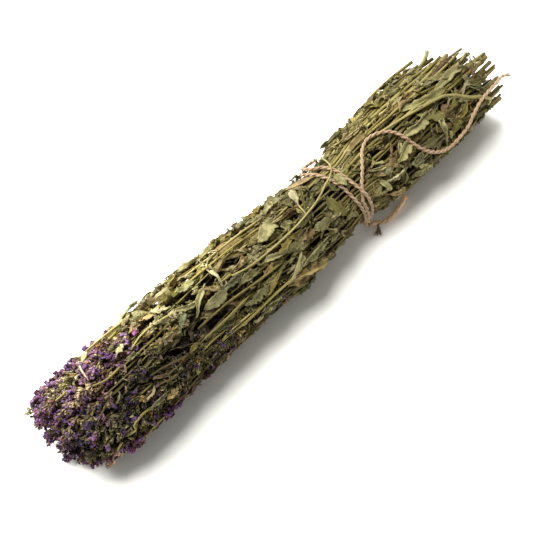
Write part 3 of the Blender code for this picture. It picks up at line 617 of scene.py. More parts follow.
class Growth:
    """The patches of one piece, with the colour and the local coordinates of each point.

    What has grown gets painted shade by its depth in the bundle, and painted light and shade round
    and along the bunch.
    """

    def __init__(self, grown=True):
        self.grown = grown
        self.points, self.faces, self.tones, self.grains, self.slots = [], [], [], [], []
        self.count = 0

    def add(self, points, faces, tone, grain, slot):
        """Adds a patch, with a tone and a grain that can be spread over its points."""
        tone, grain = (np.broadcast_to(part, points.shape).reshape(-1, 3) for part in (tone, grain))
        points = points.reshape(-1, 3)
        points = points + np.maximum(FLOOR_GAP - points[:, 2:], 0.0) * OUT_OF_FLOOR
        if self.grown:
            # Painted shade by depth, and painted light and shade round the bunch
            tone = tone * (painted_depth_shade(points) * painted_light_and_shade(points))[:, None]
        self.points.append(points)
        self.faces.append(faces + self.count)
        self.tones.append(tone)
        self.grains.append(grain)
        self.slots.append(np.full(len(faces), slot))
        self.count += len(points)

    def add_sleeve(self, rows, tone, grain, slot):
        """Adds a closed sleeve of rows of points."""
        self.add(rows, sleeve_faces(*rows.shape[:2]), tone, grain, slot)

    def piece(self, name, materials):
        """The scene's object of these patches."""
        mesh = bpy.data.meshes.new(name)
        points = np.concatenate(self.points).astype(np.float32)
        faces = np.concatenate(self.faces).astype(np.int32)
        mesh.vertices.add(len(points))
        mesh.vertices.foreach_set("co", points.ravel())
        mesh.loops.add(faces.size)
        mesh.loops.foreach_set("vertex_index", faces.ravel())
        mesh.polygons.add(len(faces))
        mesh.polygons.foreach_set("loop_start", np.arange(0, faces.size, 4, dtype=np.int32))
        for material in materials:
            mesh.materials.append(material)
        mesh.polygons.foreach_set("material_index", np.concatenate(self.slots).astype(np.int32))
        mesh.update(calc_edges=True)
        tones = np.concatenate(self.tones)
        tones = np.concatenate((tones, np.ones((len(tones), 1))), axis=1)
        tone = mesh.attributes.new("tone", "FLOAT_COLOR", "POINT")
        tone.data.foreach_set("color", tones.astype(np.float32).ravel())
        grain = mesh.attributes.new("grain", "FLOAT_VECTOR", "POINT")
        grain.data.foreach_set("vector", np.concatenate(self.grains).astype(np.float32).ravel())
        mesh.shade_smooth()
        mesh.validate()
        return add_object(name, mesh)


def unit(vectors):
    """The vectors, one unit long."""
    return vectors / np.maximum(np.linalg.norm(vectors, axis=-1, keepdims=True), 1e-12)


def axes_along(path, outward):
    """Unit vectors along a path, across it and out of it."""
    along = unit(np.gradient(path, axis=0))
    across = unit(np.cross(along, outward))
    return along, across, np.cross(across, along)


def distances(path):
    """How far along a path each of its points lies."""
    steps = np.linalg.norm(np.diff(path, axis=0), axis=1)
    return np.concatenate(([0.0], np.cumsum(steps)))


def along_path(path, places):
    """The points at given distances along a path."""
    lengths = distances(path)
    return np.stack([np.interp(places, lengths, path[:, k]) for k in range(3)], axis=1)


SPAN_POINTS = 20


def smooth_route(points, step, cyclic=False):
    """Points every step along a smooth curve through the given points."""
    points = np.asarray(points, float)
    count = len(points)
    spans = np.arange(count if cyclic else count - 1) + np.array((-1, 0, 1, 2))[:, None]
    before, start, end, after = points[spans % count if cyclic else np.clip(spans, 0, count - 1)]
    t = np.linspace(0.0, 1.0, SPAN_POINTS, endpoint=False)[:, None, None]
    dense = 0.5 * (
        2.0 * start
        + (end - before) * t
        + (2.0 * before - 5.0 * start + 4.0 * end - after) * t**2
        + (3.0 * start - before - 3.0 * end + after) * t**3
    )
    last = points[:1] if cyclic else points[-1:]
    dense = np.concatenate((dense.transpose(1, 0, 2).reshape(-1, 3), last))
    length = distances(dense)[-1]
    pieces = max(round(length / step), 2)
    return along_path(dense, np.linspace(0.0, length, pieces + 1))


def ring_rows(path, outward, radii, sides, ribs=0.0, turn=0.0):
    """Rows of points round a path, ribbed at four corners, and their place in the section."""
    _, across, out = axes_along(path, outward)
    angle = math.tau * np.arange(sides) / sides
    section = np.asarray(radii)[:, None] * (1.0 + ribs * np.cos(4.0 * angle))
    wide = section * np.cos(angle + turn)
    high = section * np.sin(angle + turn)
    rows = path[:, None] + wide[..., None] * across[:, None] + high[..., None] * out[:, None]
    return rows, wide, high


def wander(draw, x, shortest, longest, waves=3):
    """A slow random sway along x, between about -1 and 1."""
    total = np.zeros_like(x)
    for _ in range(waves):
        total += np.sin(math.tau * x / draw.uniform(shortest, longest) + draw.uniform(0, math.tau))
    return total / waves


# Stems

STEM_SLOT, LEAF_SLOT = 0, 1
NODE_ROWS = np.array((-0.0022, -0.0009, 0.0009, 0.0022))
NODE_GAPS = (0.018, 0.036)
NODE_LENGTH, NODE_SWELL, NODE_DARKNESS = 0.0016, 0.28, 0.25
PLAIN_ROWS_GAP = 0.0075
STEM_KINK = 0.0013
STEM_RIBS = 0.07
# The cut face's rings as shares of the stem's radius, with their colours, and its bulge
CUT_RINGS = (0.30, 0.45, 0.94)
CUT_COLOURS = ("stem_brown", "pith", "tan")
CUT_BULGE = 0.5


def stem_places(draw, length):
    """Where a stem's rows and its nodes lie along it."""
    nodes = np.cumsum(draw.uniform(*NODE_GAPS, size=int(length / NODE_GAPS[0]) + 1))
    nodes = nodes[nodes < length - 0.005]
    plain = np.arange(0.0, length - 0.001, PLAIN_ROWS_GAP)
    places = np.sort(np.concatenate((plain, (nodes[:, None] + NODE_ROWS).ravel(), (length,))))
    return places, nodes


def add_stem(growth, draw, path, start_radius, end_radius, tone, sides=8):
    """A stem with swollen nodes and a slight bend at each, from its cut end to its tip."""
    length = distances(path)[-1]
    places, nodes = stem_places(draw, length)
    centre = along_path(path, places)
    _, across, out = axes_along(centre, outward_at(centre))
    spots = np.concatenate(((0.0,), nodes, (length,)))
    for axis, reach in ((across, STEM_KINK), (out, STEM_KINK / 3.0)):
        bends = reach * np.concatenate(((0.0,), draw.uniform(-1.0, 1.0, len(nodes)), (0.0,)))
        centre = centre + np.interp(places, spots, bends)[:, None] * axis
    radii = start_radius + (end_radius - start_radius) * (places / length) ** 0.8
    gaps = np.abs(places[:, None] - spots[None, 1:]).min(axis=1)
    swell = np.exp(-((gaps / NODE_LENGTH) ** 2))
    radii = radii * (1.0 + NODE_SWELL * swell)
    turn = draw.uniform(0, 1.5)
    rows, wide, high = ring_rows(centre, outward_at(centre), radii, sides, STEM_RIBS, turn)
    colours = tone * (1.0 - NODE_DARKNESS * swell[:, None]) * draw.uniform(0.9, 1.1)
    middle = centre[:1, None]
    face = [middle + share * (rows[:1] - middle) for share in CUT_RINGS]
    face[0] = face[0] + CUT_BULGE * start_radius * unit(centre[1] - centre[0])
    rows = np.concatenate((*face, rows))
    colours = np.concatenate(([linear(name) for name in CUT_COLOURS], colours))
    grain = stacked(places[:, None] + draw.uniform(0, 9), wide, high)
    grain = np.concatenate((*[grain[:1]] * len(face), grain))
    growth.add_sleeve(rows, colours[:, None, :], grain, STEM_SLOT)


# Leaves

LEAF_COLUMNS = np.array((1.0, 0.82, 0.52, 0.20, 0.0, -0.20, -0.52, -0.82, -1.0))
SMALL_COLUMNS = np.array((1.0, 0.55, 0.0, -0.55, -1.0))
Form = collections.namedtuple("Form", "fold curl twist ruffle crumple")
FORMS = {
    "open": Form((0.05, 0.45), (-0.5, 0.9), 0.6, 0.26, 0.0009),
    "folded": Form((0.55, 1.25), (-0.2, 0.8), 0.9, 0.24, 0.0008),
    "rolled": Form((0.2, 0.6), (1.3, 2.8), 1.0, 0.18, 0.0007),
    "crumpled": Form((0.2, 1.0), (0.3, 1.9), 1.8, 0.46, 0.0018),
}
# How often each form comes among the random leaves
FORM_SHARES = (0.20, 0.28, 0.22, 0.30)
STALK = 0.14
STALK_WIDTH, TIP_NARROWING = 0.00042, 0.00022
BLADE_FULLNESS = 0.72
TEETH = 0.09
CRUMPLE_WAVES = 3
BLADE_BODY, RIB_BODY, STALK_BODY = 0.00022, 0.00030, 0.00020
RIB_WIDTH, RIB_GROOVE = 0.12, 0.00022


def half_widths(along, half_width, peak, teeth):
    """The blade's half-width along it, with a narrow stalk and a scalloped edge."""
    blade = np.clip((along - STALK) / (1.0 - STALK), 0.0, 1.0)
    power = peak / (1.0 - peak)
    shape = blade**power * (1.0 - blade) / (peak**power * (1.0 - peak))
    shape = shape**BLADE_FULLNESS
    scallop = 1.0 - teeth * (np.arange(len(along)) % 2) * (blade > 0.05)
    return np.maximum(half_width * shape * scallop, STALK_WIDTH - TIP_NARROWING * along)


def leaf_rows(draw, path, half_width, form, roll, flip, fine, peak):
    """Rows of points of a dried leaf along a path, and its local coordinates."""
    spec = FORMS[form]
    columns = LEAF_COLUMNS if fine else SMALL_COLUMNS
    count = len(path)
    share = np.linspace(0.0, 1.0, count)
    _, across, out = axes_along(path, outward_at(path))
    angle = roll + spec.twist * draw.uniform(-1, 1) * (share - 0.3)
    angle = (angle + 0.25 * wander(draw, share, 0.4, 1.2))[:, None]
    across, out = (
        across * np.cos(angle) + out * np.sin(angle),
        out * np.cos(angle) - across * np.sin(angle),
    )
    width = half_widths(share, half_width, peak, TEETH if fine else 0.0)
    fold = flip * draw.uniform(*spec.fold) * (0.7 + 0.3 * wander(draw, share, 0.5, 1.4))
    wide = np.zeros((count, len(columns)))
    high = np.zeros((count, len(columns)))
    middle = len(columns) // 2
    for side in (-1, 1):
        curl = flip * draw.uniform(*spec.curl) * (0.75 + 0.5 * wander(draw, share, 0.3, 1.1))
        ragged = width * (1.0 + 0.22 * wander(draw, share, 0.08, 0.35))
        for step in range(1, middle + 1):
            near, far = middle - side * (step - 1), middle - side * step
            gap = abs(columns[far]) - abs(columns[near])
            lean = fold + curl * (abs(columns[far]) + abs(columns[near])) / 2.0
            wide[:, far] = wide[:, near] + side * gap * ragged * np.cos(lean)
            high[:, far] = high[:, near] + gap * ragged * np.sin(lean)
        wave = spec.ruffle * wander(draw, share, 0.10, 0.30, 2)
        edge = np.abs(columns) ** 1.6 * (columns * side > 0)
        high += wave[:, None] * edge[None, :] * width[:, None]
    for _ in range(CRUMPLE_WAVES):
        long_wave = share[:, None] * draw.uniform(6, 16) + columns[None, :] * draw.uniform(-4, 4)
        lump = np.sin(long_wave + draw.uniform(0, math.tau)) * np.clip(width / 0.003, 0, 1)[:, None]
        high += spec.crumple / CRUMPLE_WAVES * lump
    rib = np.exp(-((columns / RIB_WIDTH) ** 2))[None, :]
    high -= RIB_GROOVE * rib * np.clip(width / 0.002, 0, 1)[:, None]
    mid = path[:, None] + wide[..., None] * across[:, None] + high[..., None] * out[:, None]
    normal = unit(np.cross(np.gradient(mid, axis=0), np.gradient(mid, axis=1)))
    body = BLADE_BODY + RIB_BODY * rib + STALK_BODY * (share[:, None] < STALK)
    upper = mid + body[..., None] * normal
    lower = mid - body[..., None] * normal
    ends = (slice(None), (0, len(columns) - 1))
    upper[ends] = mid[ends]
    rows = np.concatenate((upper, lower[:, -2:0:-1]), axis=1)
    loop = np.concatenate((columns, columns[-2:0:-1]))
    under = np.concatenate((np.zeros(len(columns)), np.ones(len(columns) - 2)))
    return rows, share, loop, under


def add_leaf(
    growth, draw, path, half_width, form, tone, roll, flip=1.0, fine=True, top=None, peak=0.40
):
    """A leaf along a path, paler below than above."""
    rows, share, loop, under = leaf_rows(draw, path, half_width, form, roll, flip, fine, peak)
    rows = pressed(rows, top)
    pale = tone * 0.62 + linear("pale") * 0.34
    tones = tone + (pale - tone) * under[None, :, None]
    grain = stacked(share[:, None], loop[None, :], draw.random())
    growth.add_sleeve(rows, tones, grain, LEAF_SLOT)


def leaf_path(draw, root, heading, length, radius, rise, rows, hook=0.0):
    """A leaf's midrib: up from its root, then along the bundle at a heading from -X."""
    x, angle, start = root
    share = np.linspace(0.0, 1.0, rows)
    bend = heading + draw.uniform(-1.1, 1.1) * (share - 0.5) + 0.25 * wander(draw, share, 0.3, 0.8)
    step = length / (rows - 1)
    run, slide = (
        np.concatenate(([0.0], np.cumsum(part[:-1] * step)))
        for part in (np.cos(bend), np.sin(bend))
    )
    half_width, half_height, _ = outline(x)
    around = (half_width + half_height) / 2.0
    lift = 1.0 - (1.0 - np.clip(share / 0.35, 0.0, 1.0)) ** 2
    bulge = rise * np.sin(math.pi * share) + hook * share**3
    height = start + (radius - start) * lift + bulge / around
    return bundle_point(x - run, angle + slide / around, height)


def mixed(draw, names, spread=0.14):
    """A colour between two of the named ones, a little lighter or darker."""
    first, second = (linear(names[pick]) for pick in draw.integers(0, len(names), 2))
    share = draw.random()
    light = 1.0 + spread * draw.uniform(-1.0, 1.0)
    return (first + (second - first) * share) * light


LEAF_TONES = (
    "grey_green", "grey_green", "grey_green", "light", "light", "olive", "olive", "olive",
    "dark", "dark", "pale", "tan", "brown", "yellow",
)
BRACT_TONES = ("pale", "light", "calyx_tan", "calyx_green", "tan", "olive", "brown")
BUD_TONES = ("calyx_green", "light", "tan", "olive", "calyx")
INNER_TONES = ("dark", "olive", "brown", "grey_green")


def pixel_at(point):
    """The pixel that shows a point."""
    ray = point - EYE
    return FRAME_PIXELS / 2.0 + FOCAL_PIXELS / -(ray @ BACK) * np.array((ray @ RIGHT, -(ray @ UP)))


def kept_clear(point):
    """Whether the photograph shows no large leaf here."""
    pixel = pixel_at(point)
    return any(math.dist(pixel, place[:2]) < place[2] for place in CLEAR_PLACES)


def random_form(draw):
    """The name of a form of leaf."""
    return tuple(FORMS)[draw.choice(len(FORMS), p=FORM_SHARES)]


def flowers_from(angle):
    """How far back along the bunch the flower heads begin, at an angle in radians."""
    return np.interp(math.degrees(angle) % 360.0, *FLOWER_STARTS)


# How thickly leaves grow in each part of the bunch, from 0 to 1
DENSITIES = {"flowers": 0.30, "tie": 0.25, "middle": 0.85, "upper cut end": 0.45, "cut end": 1.0}
UPPER_SIDE = math.radians(60.0)
LEAF_ROWS, SMALL_LEAF_ROWS = 27, 9
LEAF_LENGTHS, SMALL_LENGTHS, INNER_LENGTHS = (0.012, 0.031), (0.004, 0.012), (0.022, 0.038)
# Half-widths over lengths
LEAF_WIDTHS, SMALL_WIDTHS, INNER_WIDTHS = (0.12, 0.22), (0.14, 0.28), (0.16, 0.24)
FLOWERY_LEAF_SIZE = 0.42
BUD_SIZES, CLUMP_SIZES = (0.0022, 0.0042), (0.0022, 0.0040)
INNER_FROM = -0.16


def leaf_density(x, angle):
    if x < flowers_from(angle) - 0.020:
        part = "flowers"
    elif abs(x - TIE_X) < TIED_REACH:
        part = "tie"
    elif x <= TIE_X:
        part = "middle"
    else:
        part = "upper cut end" if math.cos(angle - UPPER_SIDE) > 0.55 else "cut end"
    return DENSITIES[part]


def add_random_leaves(growth, draw, stems, count):
    """Leaves along a sprig's outer stems, apart from those on places that are kept clear."""
    for _ in range(count):
        stem = pick(draw, stems)
        root = stem[draw.integers(6, len(stem) - 8)]
        angle, share = bundle_place(root)
        if draw.random() > leaf_density(root[0], angle):
            continue
        heading = draw.normal(0.0, 0.34) + (math.pi if draw.random() < 0.15 else 0.0)
        flowery = root[0] < flowers_from(angle) + 0.012
        length = draw.uniform(*LEAF_LENGTHS) * (FLOWERY_LEAF_SIZE if flowery else 1.0)
        tall = draw.uniform(0.94, 1.10)
        rise = draw.uniform(-0.001, 0.003)
        hook = draw.normal(0, 0.0015)
        place = (root[0], angle, share)
        path = leaf_path(draw, place, heading, length, tall, rise, LEAF_ROWS, hook)
        roll = draw.normal(0.0, 0.55)
        flip = 1.0 if draw.random() < 0.6 else -1.0
        width = length * draw.uniform(*LEAF_WIDTHS)
        tone = mixed(draw, BRACT_TONES if flowery else LEAF_TONES, 0.25)
        form = random_form(draw)
        peak = draw.uniform(0.30, 0.48)
        # A leaf that isn't kept still takes its random numbers, so that the next ones stay the same
        leafy = Growth() if kept_clear(path[len(path) // 2]) else growth
        add_leaf(leafy, draw, path, width, form, tone, roll, flip, peak=peak)


def add_small_leaves(growth, draw, stems, count):
    """Small withered leaves and bracts along the stems."""
    for _ in range(count):
        stem = pick(draw, stems)
        root = stem[draw.integers(4, len(stem) - 3)]
        angle, share = bundle_place(root)
        if draw.random() > leaf_density(root[0], angle) + 0.15:
            continue
        heading = draw.normal(0.0, 0.8)
        length = draw.uniform(*SMALL_LENGTHS)
        tall = draw.uniform(0.95, 1.10)
        place = (root[0], angle, share)
        path = leaf_path(draw, place, heading, length, tall, 0.0, SMALL_LEAF_ROWS)
        width = length * draw.uniform(*SMALL_WIDTHS)
        flowery = root[0] < flowers_from(angle) + 0.040
        tone = mixed(draw, BRACT_TONES if flowery else LEAF_TONES, 0.30)
        form = random_form(draw)
        add_leaf(growth, draw, path, width, form, tone, draw.normal(0, 0.9), fine=False)


def add_buds(growth, draw, stems, count):
    """Clusters of small dry buds that sit on the stems."""
    for _ in range(count):
        stem = pick(draw, stems)
        root = stem[draw.integers(4, len(stem) - 3)]
        size = draw.integers(3, 9)
        angle, _ = bundle_place(root)
        if root[0] < flowers_from(angle) - 0.01 or abs(root[0] - TIE_X) < 0.012:
            continue
        places = root + draw.normal(0.0, 0.0011, (size, 3))
        lean = outward_at(places) * draw.uniform(0.1, 1.2)
        direction = unit(lean + draw.normal(0.0, 0.7, (size, 3)))
        tones = np.stack([mixed(draw, BUD_TONES, 0.2) for _ in range(size)])
        sizes = draw.uniform(*BUD_SIZES, size)
        template = pick(draw, CALYXES)
        place_copies(growth, template, places, turn_to(direction, draw), sizes, tones, LEAF_SLOT)


def add_clump(growth, draw, centre, spread, count, names):
    """A knobbly clump of dry buds."""
    places = centre + spread * draw.normal(0.0, 0.5, (count, 3))
    direction = unit(outward_at(places) + draw.normal(0.0, 0.7, (count, 3)))
    tones = np.stack([mixed(draw, names, 0.3) for _ in range(count)])
    template = pick(draw, CALYXES)
    turns = turn_to(direction, draw)
    sizes = draw.uniform(*CLUMP_SIZES, count)
    place_copies(growth, template, places, turns, sizes, tones, LEAF_SLOT)


def add_inner_leaves(growth, draw, ring, index):
    """Leaves pressed flat between the stems inside the bundle."""
    for _ in range(ring["inner_leaves"]):
        x = draw.uniform(INNER_FROM, CUT_END - 0.035)
        angle, radius = cell_place(ring, index, x, draw.uniform(-1, 1), draw.uniform(0.0, 0.85))
        x = min(x, float(cut_at(angle, radius)) - 0.015)
        heading = draw.normal(0.0, 0.3)
        length = draw.uniform(*INNER_LENGTHS)
        rise = draw.uniform(-0.002, 0.002)
        place = (x, angle, radius)
        path = leaf_path(draw, place, heading, length, radius, rise, SMALL_LEAF_ROWS)
        tone = mixed(draw, INNER_TONES)
        form = random_form(draw)
        width = length * draw.uniform(*INNER_WIDTHS)
        add_leaf(growth, draw, path, width, form, tone, draw.normal(0, 0.6), fine=False)


# Flower heads

CALYX_SLOT, COROLLA_SLOT, SPIKE_STEM_SLOT = 0, 1, 2
CALYX_SIDES = 6
# Height, width and painted shade of a calyx's rows, from its foot to its mouth and then inside it
# The painted shade darkens the foot and inside, and lightens the toothed rim
CALYX_ROWS = (
    (0.0, 0.08, 0.35), (0.30, 0.18, 0.70), (0.72, 0.23, 1.05), (0.92, 0.31, 1.40),
    (0.55, 0.16, 0.28),
)
CALYX_MOUTH = 3
PETALS, PETAL_ROWS = 2, 4
PETAL_START, PETAL_BODY = 0.50, 0.035
# Petals are painted darker at their foot and lighter at their tip: painted shade and light
PETAL_PAINTED_SHADES = (0.50, 1.40)
MIDDLE_COLUMN = np.array((0.0, 1.0, 0.0))
FLORET_GRAIN = 0.005


def floret_template(sleeves, row_painted_shades):
    """Closed sleeves of one size, one unit long, with a painted shade for each of their rows."""
    rows, columns, _ = sleeves[0].shape
    faces = [sleeve_faces(rows, columns) + rows * columns * place for place in range(len(sleeves))]
    return {
        "points": np.concatenate(sleeves).reshape(-1, 3),
        "faces": np.concatenate(faces),
        "tones": np.tile(np.repeat(row_painted_shades, columns), len(sleeves)),
    }


def calyx_template(draw):
    """A toothed bell along +Z."""
    angle = math.tau * np.arange(CALYX_SIDES) / CALYX_SIDES
    teeth = 1.0 - np.arange(CALYX_SIDES) % 2
    rows = []
    for place, (level, width, _) in enumerate(CALYX_ROWS):
        mouth = 1.0 if place == CALYX_MOUTH else 0.0
        wobble = 1.0 + 0.14 * draw.normal(size=CALYX_SIDES)
        height = level + mouth * (0.26 * teeth - 0.10) + 0.03 * draw.normal(size=CALYX_SIDES)
        radius = width * wobble * (1.0 + mouth * (0.12 * teeth))
        rows.append(stacked(radius * np.cos(angle), 0.8 * radius * np.sin(angle), height))
    return floret_template([np.stack(rows)[:, ::-1]], [shade for _, _, shade in CALYX_ROWS])


def petal_rows(draw, reach, spread, width):
    """A shrivelled petal that leaves the calyx and bends aside."""
    share = np.linspace(0.0, 1.0, PETAL_ROWS)
    turn = spread * share + draw.normal(0, 0.25)
    side = np.cumsum(np.sin(turn)) * reach / PETAL_ROWS
    height = PETAL_START + np.cumsum(np.cos(turn)) * reach / PETAL_ROWS
    half = width * (0.35 + np.sin(math.pi * np.clip(share * 0.85 + 0.08, 0, 1)))[:, None]
    fold = draw.normal(0.0, 0.5, PETAL_ROWS)[:, None]
    columns = np.array((1.0, 0.0, -1.0))
    out = stacked(np.cos(turn), 0.0, -np.sin(turn))[:, None]
    lift = (np.abs(columns) * fold + 0.35 * draw.normal(size=(PETAL_ROWS, 3))) * half
    aside = stacked(0.0, columns * half, 0.0)
    mid = stacked(side, 0.0, height)[:, None] + aside + lift[..., None] * out
    upper = mid + PETAL_BODY * out * MIDDLE_COLUMN[:, None]
    lower = mid - PETAL_BODY * out
    return np.concatenate((upper, lower[:, 1:2]), axis=1)


def corolla_template(draw):
    """Two crumpled lips that stand out of the calyx."""
    lips = []
    for _ in range(PETALS):
        reach, spread, width = (
            draw.uniform(*span) for span in ((0.8, 1.35), (0.2, 1.5), (0.17, 0.30))
        )
        rows = petal_rows(draw, reach, spread, width)
        turn = draw.uniform(0.0, math.tau)
        across, up = math.cos(turn), math.sin(turn)
        lips.append(rows @ np.array(((across, up, 0), (-up, across, 0), (0, 0, 1))))
    return floret_template(lips, np.linspace(*PETAL_PAINTED_SHADES, PETAL_ROWS))


def place_copies(growth, template, places, turns, sizes, tones, slot):
    """Copies of a template at places, with turn matrices, sizes and colours."""
    points = np.einsum("nij,kj->nki", turns, template["points"]) * sizes[:, None, None]
    points = pressed(points + places[:, None, :], FLORET_TOP)
    starts = np.arange(len(places)) * len(template["points"])
    faces = template["faces"] + starts[:, None, None]
    # Each copy's colour times its template's painted shade for each row
    tone = tones[:, None, :] * template["tones"][:, None]
    growth.add(points, faces.reshape(-1, 4), tone, template["points"] * FLORET_GRAIN, slot)


def turn_to(directions, draw):
    """Matrices that turn +Z to each direction, with a random spin round it."""
    side = unit(np.cross(directions, draw.normal(size=directions.shape)))
    return np.stack((side, np.cross(directions, side), directions), axis=-1)


# How a flower head looks: the share of its calyces with a corolla, the colours of both, and the
# length from its foot over which whorls are missing
SpikeKind = collections.namedtuple(
    "SpikeKind", "flowering calyx corolla loose_length", defaults=(0.032,)
)
SPIKE_KINDS = {
    "purple": SpikeKind(
        0.78,
        ("calyx_mauve", "calyx_mauve", "calyx", "calyx_brown"),
        ("violet", "violet", "lilac", "magenta", "lilac"),
    ),
    "mauve": SpikeKind(
        0.45,
        ("calyx_mauve", "calyx_tan", "calyx", "calyx_brown"),
        ("lilac", "magenta", "violet"),
    ),
    "magenta": SpikeKind(
        0.80, ("calyx_brown", "calyx_mauve", "calyx"), ("magenta", "violet", "magenta")
    ),
    # Dark, sparse heads for the middle and lower side: their dark colours are partly the flowers'
    # own and partly painted shade
    "deep": SpikeKind(
        0.48,
        ("calyx_brown", "calyx", "calyx_green", "moss"),
        ("deep_violet", "violet", "deep_violet"),
        0.070,
    ),
    "tan": SpikeKind(
        0.14,
        ("calyx_tan", "calyx", "calyx_tan", "calyx_mauve"),
        ("lilac", "calyx_mauve", "violet"),
    ),
    "green": SpikeKind(
        0.06, ("calyx_green", "light", "calyx", "pale"), ("lilac", "violet")
    ),
}
# How the share with a corolla changes from a head's foot to its tip
FLOWERING_ALONG = ((0.0, 0.5, 1.0), (0.35, 0.80, 1.40))
WHORL_STEP, WHORL_SIZE, WHORL_JITTER = 0.0044, 7, 0.0008
MISSING_SHARE, KEPT_WHORLS = 0.75, 3.0
FLORET_SIZES, FLORET_LEAN, FLORET_OFFSET = (0.0036, 0.0062), (0.35, 1.10), 0.0007
CALYX_SPREAD, COROLLA_SPREAD = 0.45, 0.32
ORANGE_SHARE = 0.02
SPIKE_STEM_RADII = (0.0008, 0.0004)
TEMPLATES = 10


def spike_kind(draw, angle):
    """What a flower head at an angle looks like: each side of the bunch has its own mix."""
    degrees = math.degrees(angle) % 360.0
    for limit, kinds in SPIKE_MIXES:
        if degrees < limit:
            return pick(draw, kinds)
    return pick(draw, SPIKE_MIXES[0][1])


def whorl_places(draw, length, loose_length):
    """Where the whorls lie along a flower head."""
    whorls = np.arange(0.002, length - 0.001, WHORL_STEP)
    kept = draw.random(len(whorls)) > MISSING_SHARE * np.exp(-whorls / loose_length)
    whorls = whorls[kept | (whorls > length - KEPT_WHORLS * WHORL_STEP)]
    return whorls + draw.uniform(-WHORL_JITTER, WHORL_JITTER, len(whorls))


def add_spike(growth, draw, path, fullness, kind):
    """A flower head: whorls of florets along a thin stem."""
    looks = SPIKE_KINDS[kind]
    length = distances(path)[-1]
    whorls = whorl_places(draw, length, looks.loose_length)
    count = len(whorls) * WHORL_SIZE
    spots = np.repeat(whorls, WHORL_SIZE) + draw.normal(0, WHORL_JITTER, count)
    spots = np.clip(spots, 0.0, length)
    middles = along_path(path, whorls)
    axes = axes_along(middles, outward_at(middles))
    along, across, out = (np.repeat(axis, WHORL_SIZE, axis=0) for axis in axes)
    angle = np.tile(math.tau * np.arange(WHORL_SIZE) / WHORL_SIZE, len(whorls))
    angle = angle + np.repeat(draw.uniform(0, math.tau, len(whorls)), WHORL_SIZE)
    angle = (angle + draw.normal(0, 0.25, count))[:, None]
    radial = np.cos(angle) * across + np.sin(angle) * out
    lean = draw.uniform(*FLORET_LEAN, count)[:, None]
    direction = unit(np.sin(lean) * radial + np.cos(lean) * along)
    ripe = np.clip((length - spots) / 0.012, 0.35, 1.0)
    sizes = draw.uniform(*FLORET_SIZES, count) * fullness * (0.45 + 0.55 * ripe)
    places = along_path(path, spots) + FLORET_OFFSET * radial
    turns = turn_to(direction, draw)
    shapes = draw.integers(0, TEMPLATES, count)
    calyx_tones = np.stack([mixed(draw, looks.calyx, CALYX_SPREAD) for _ in spots])
    corolla_tones = np.stack([mixed(draw, looks.corolla, COROLLA_SPREAD) for _ in spots])
    calyx_tones[draw.random(count) < ORANGE_SHARE] = linear("orange") * 0.8
    ramp = np.interp(spots / length, *FLOWERING_ALONG)
    flowering = draw.random(count) < looks.flowering * ramp
    for shape, (calyx, corolla) in enumerate(zip(CALYXES, COROLLAS)):
        for template, tones, slot, chosen in (
            (calyx, calyx_tones, CALYX_SLOT, shapes == shape),
            (corolla, corolla_tones, COROLLA_SLOT, (shapes == shape) & flowering),
        ):
            if chosen.any():
                copies = (part[chosen] for part in (places, turns, sizes, tones))
                place_copies(growth, template, *copies, slot)
    radii = np.linspace(*SPIKE_STEM_RADII, len(path))
    rows, wide, high = ring_rows(path, outward_at(path), radii, 6)
    grain = stacked(distances(path)[:, None], wide, high)
    growth.add_sleeve(rows, linear("stem"), grain, SPIKE_STEM_SLOT)


TEMPLATE_DRAW = np.random.default_rng(SEED)
CALYXES = [calyx_template(TEMPLATE_DRAW) for _ in range(TEMPLATES)]
COROLLAS = [corolla_template(TEMPLATE_DRAW) for _ in range(TEMPLATES)]


# Twine

TWINE_SLOT = 0
STRAND_RADIUS = 0.00076
STRAND_OFFSET = 0.00066
STRAND_PITCH = 0.0098
STRAND_ROWS_GAP = 0.0009
STRAND_UNEVENNESS, STRAND_SIDES = 0.10, 8
FIBRE_GAP = 0.0010
FIBRE_LENGTHS = (0.0012, 0.0034)
FIBRE_RADII = (0.00008, 0.00004)
FIBRE_SIDES = 4
FRAY_LENGTH = 0.0065
FRAY_RADII = (0.00024, 0.00007)
TAIL_STOPS_SHORT = 0.004


def add_twine(growth, draw, path, closed=False, short=0.0, tones=(1.0, 1.0), thick=1.0):
    """Two strands twisted round a path, with stray fibres, that may stop short of its end."""
    length = distances(path)[-1] - short
    count = max(round(length / STRAND_ROWS_GAP), 8)
    centre = along_path(path, np.linspace(0.0, length, count))
    turns = max(round(length / STRAND_PITCH), 1) if closed else length / STRAND_PITCH
    outward = outward_at(centre)
    _, across, out = axes_along(centre, outward)
    share = np.linspace(0.0, 1.0, count)
    # Painted light and shade along the twine, from its start to its end
    tone = np.interp(share, (0.0, 1.0), tones)[:, None, None]
    for strand in (0, 1):
        angle = (math.tau * turns * share + math.pi * strand)[:, None]
        line = centre + thick * STRAND_OFFSET * (np.cos(angle) * across + np.sin(angle) * out)
        uneven = STRAND_UNEVENNESS * wander(draw, share * length, 0.006, 0.030)
        radii = thick * STRAND_RADIUS * (1.0 + uneven)
        rows, wide, high = ring_rows(line, outward, radii, STRAND_SIDES)
        grain = stacked((share * length)[:, None] + strand, wide, high)
        growth.add_sleeve(rows, tone, grain, TWINE_SLOT)
    add_fibres(growth, draw, centre, int(length / FIBRE_GAP), tones)


def add_fibre(growth, draw, curve, aside, radii, tone):
    """One fibre along a curve, held above the floor."""
    curve[:, 2] = np.maximum(curve[:, 2], FLOOR_GAP)
    aside = np.broadcast_to(aside, curve.shape)
    rows, _, _ = ring_rows(curve, aside, np.linspace(*radii, len(curve)), FIBRE_SIDES)
    growth.add_sleeve(rows, tone, (draw.random(), 0.0, 0.0), TWINE_SLOT)


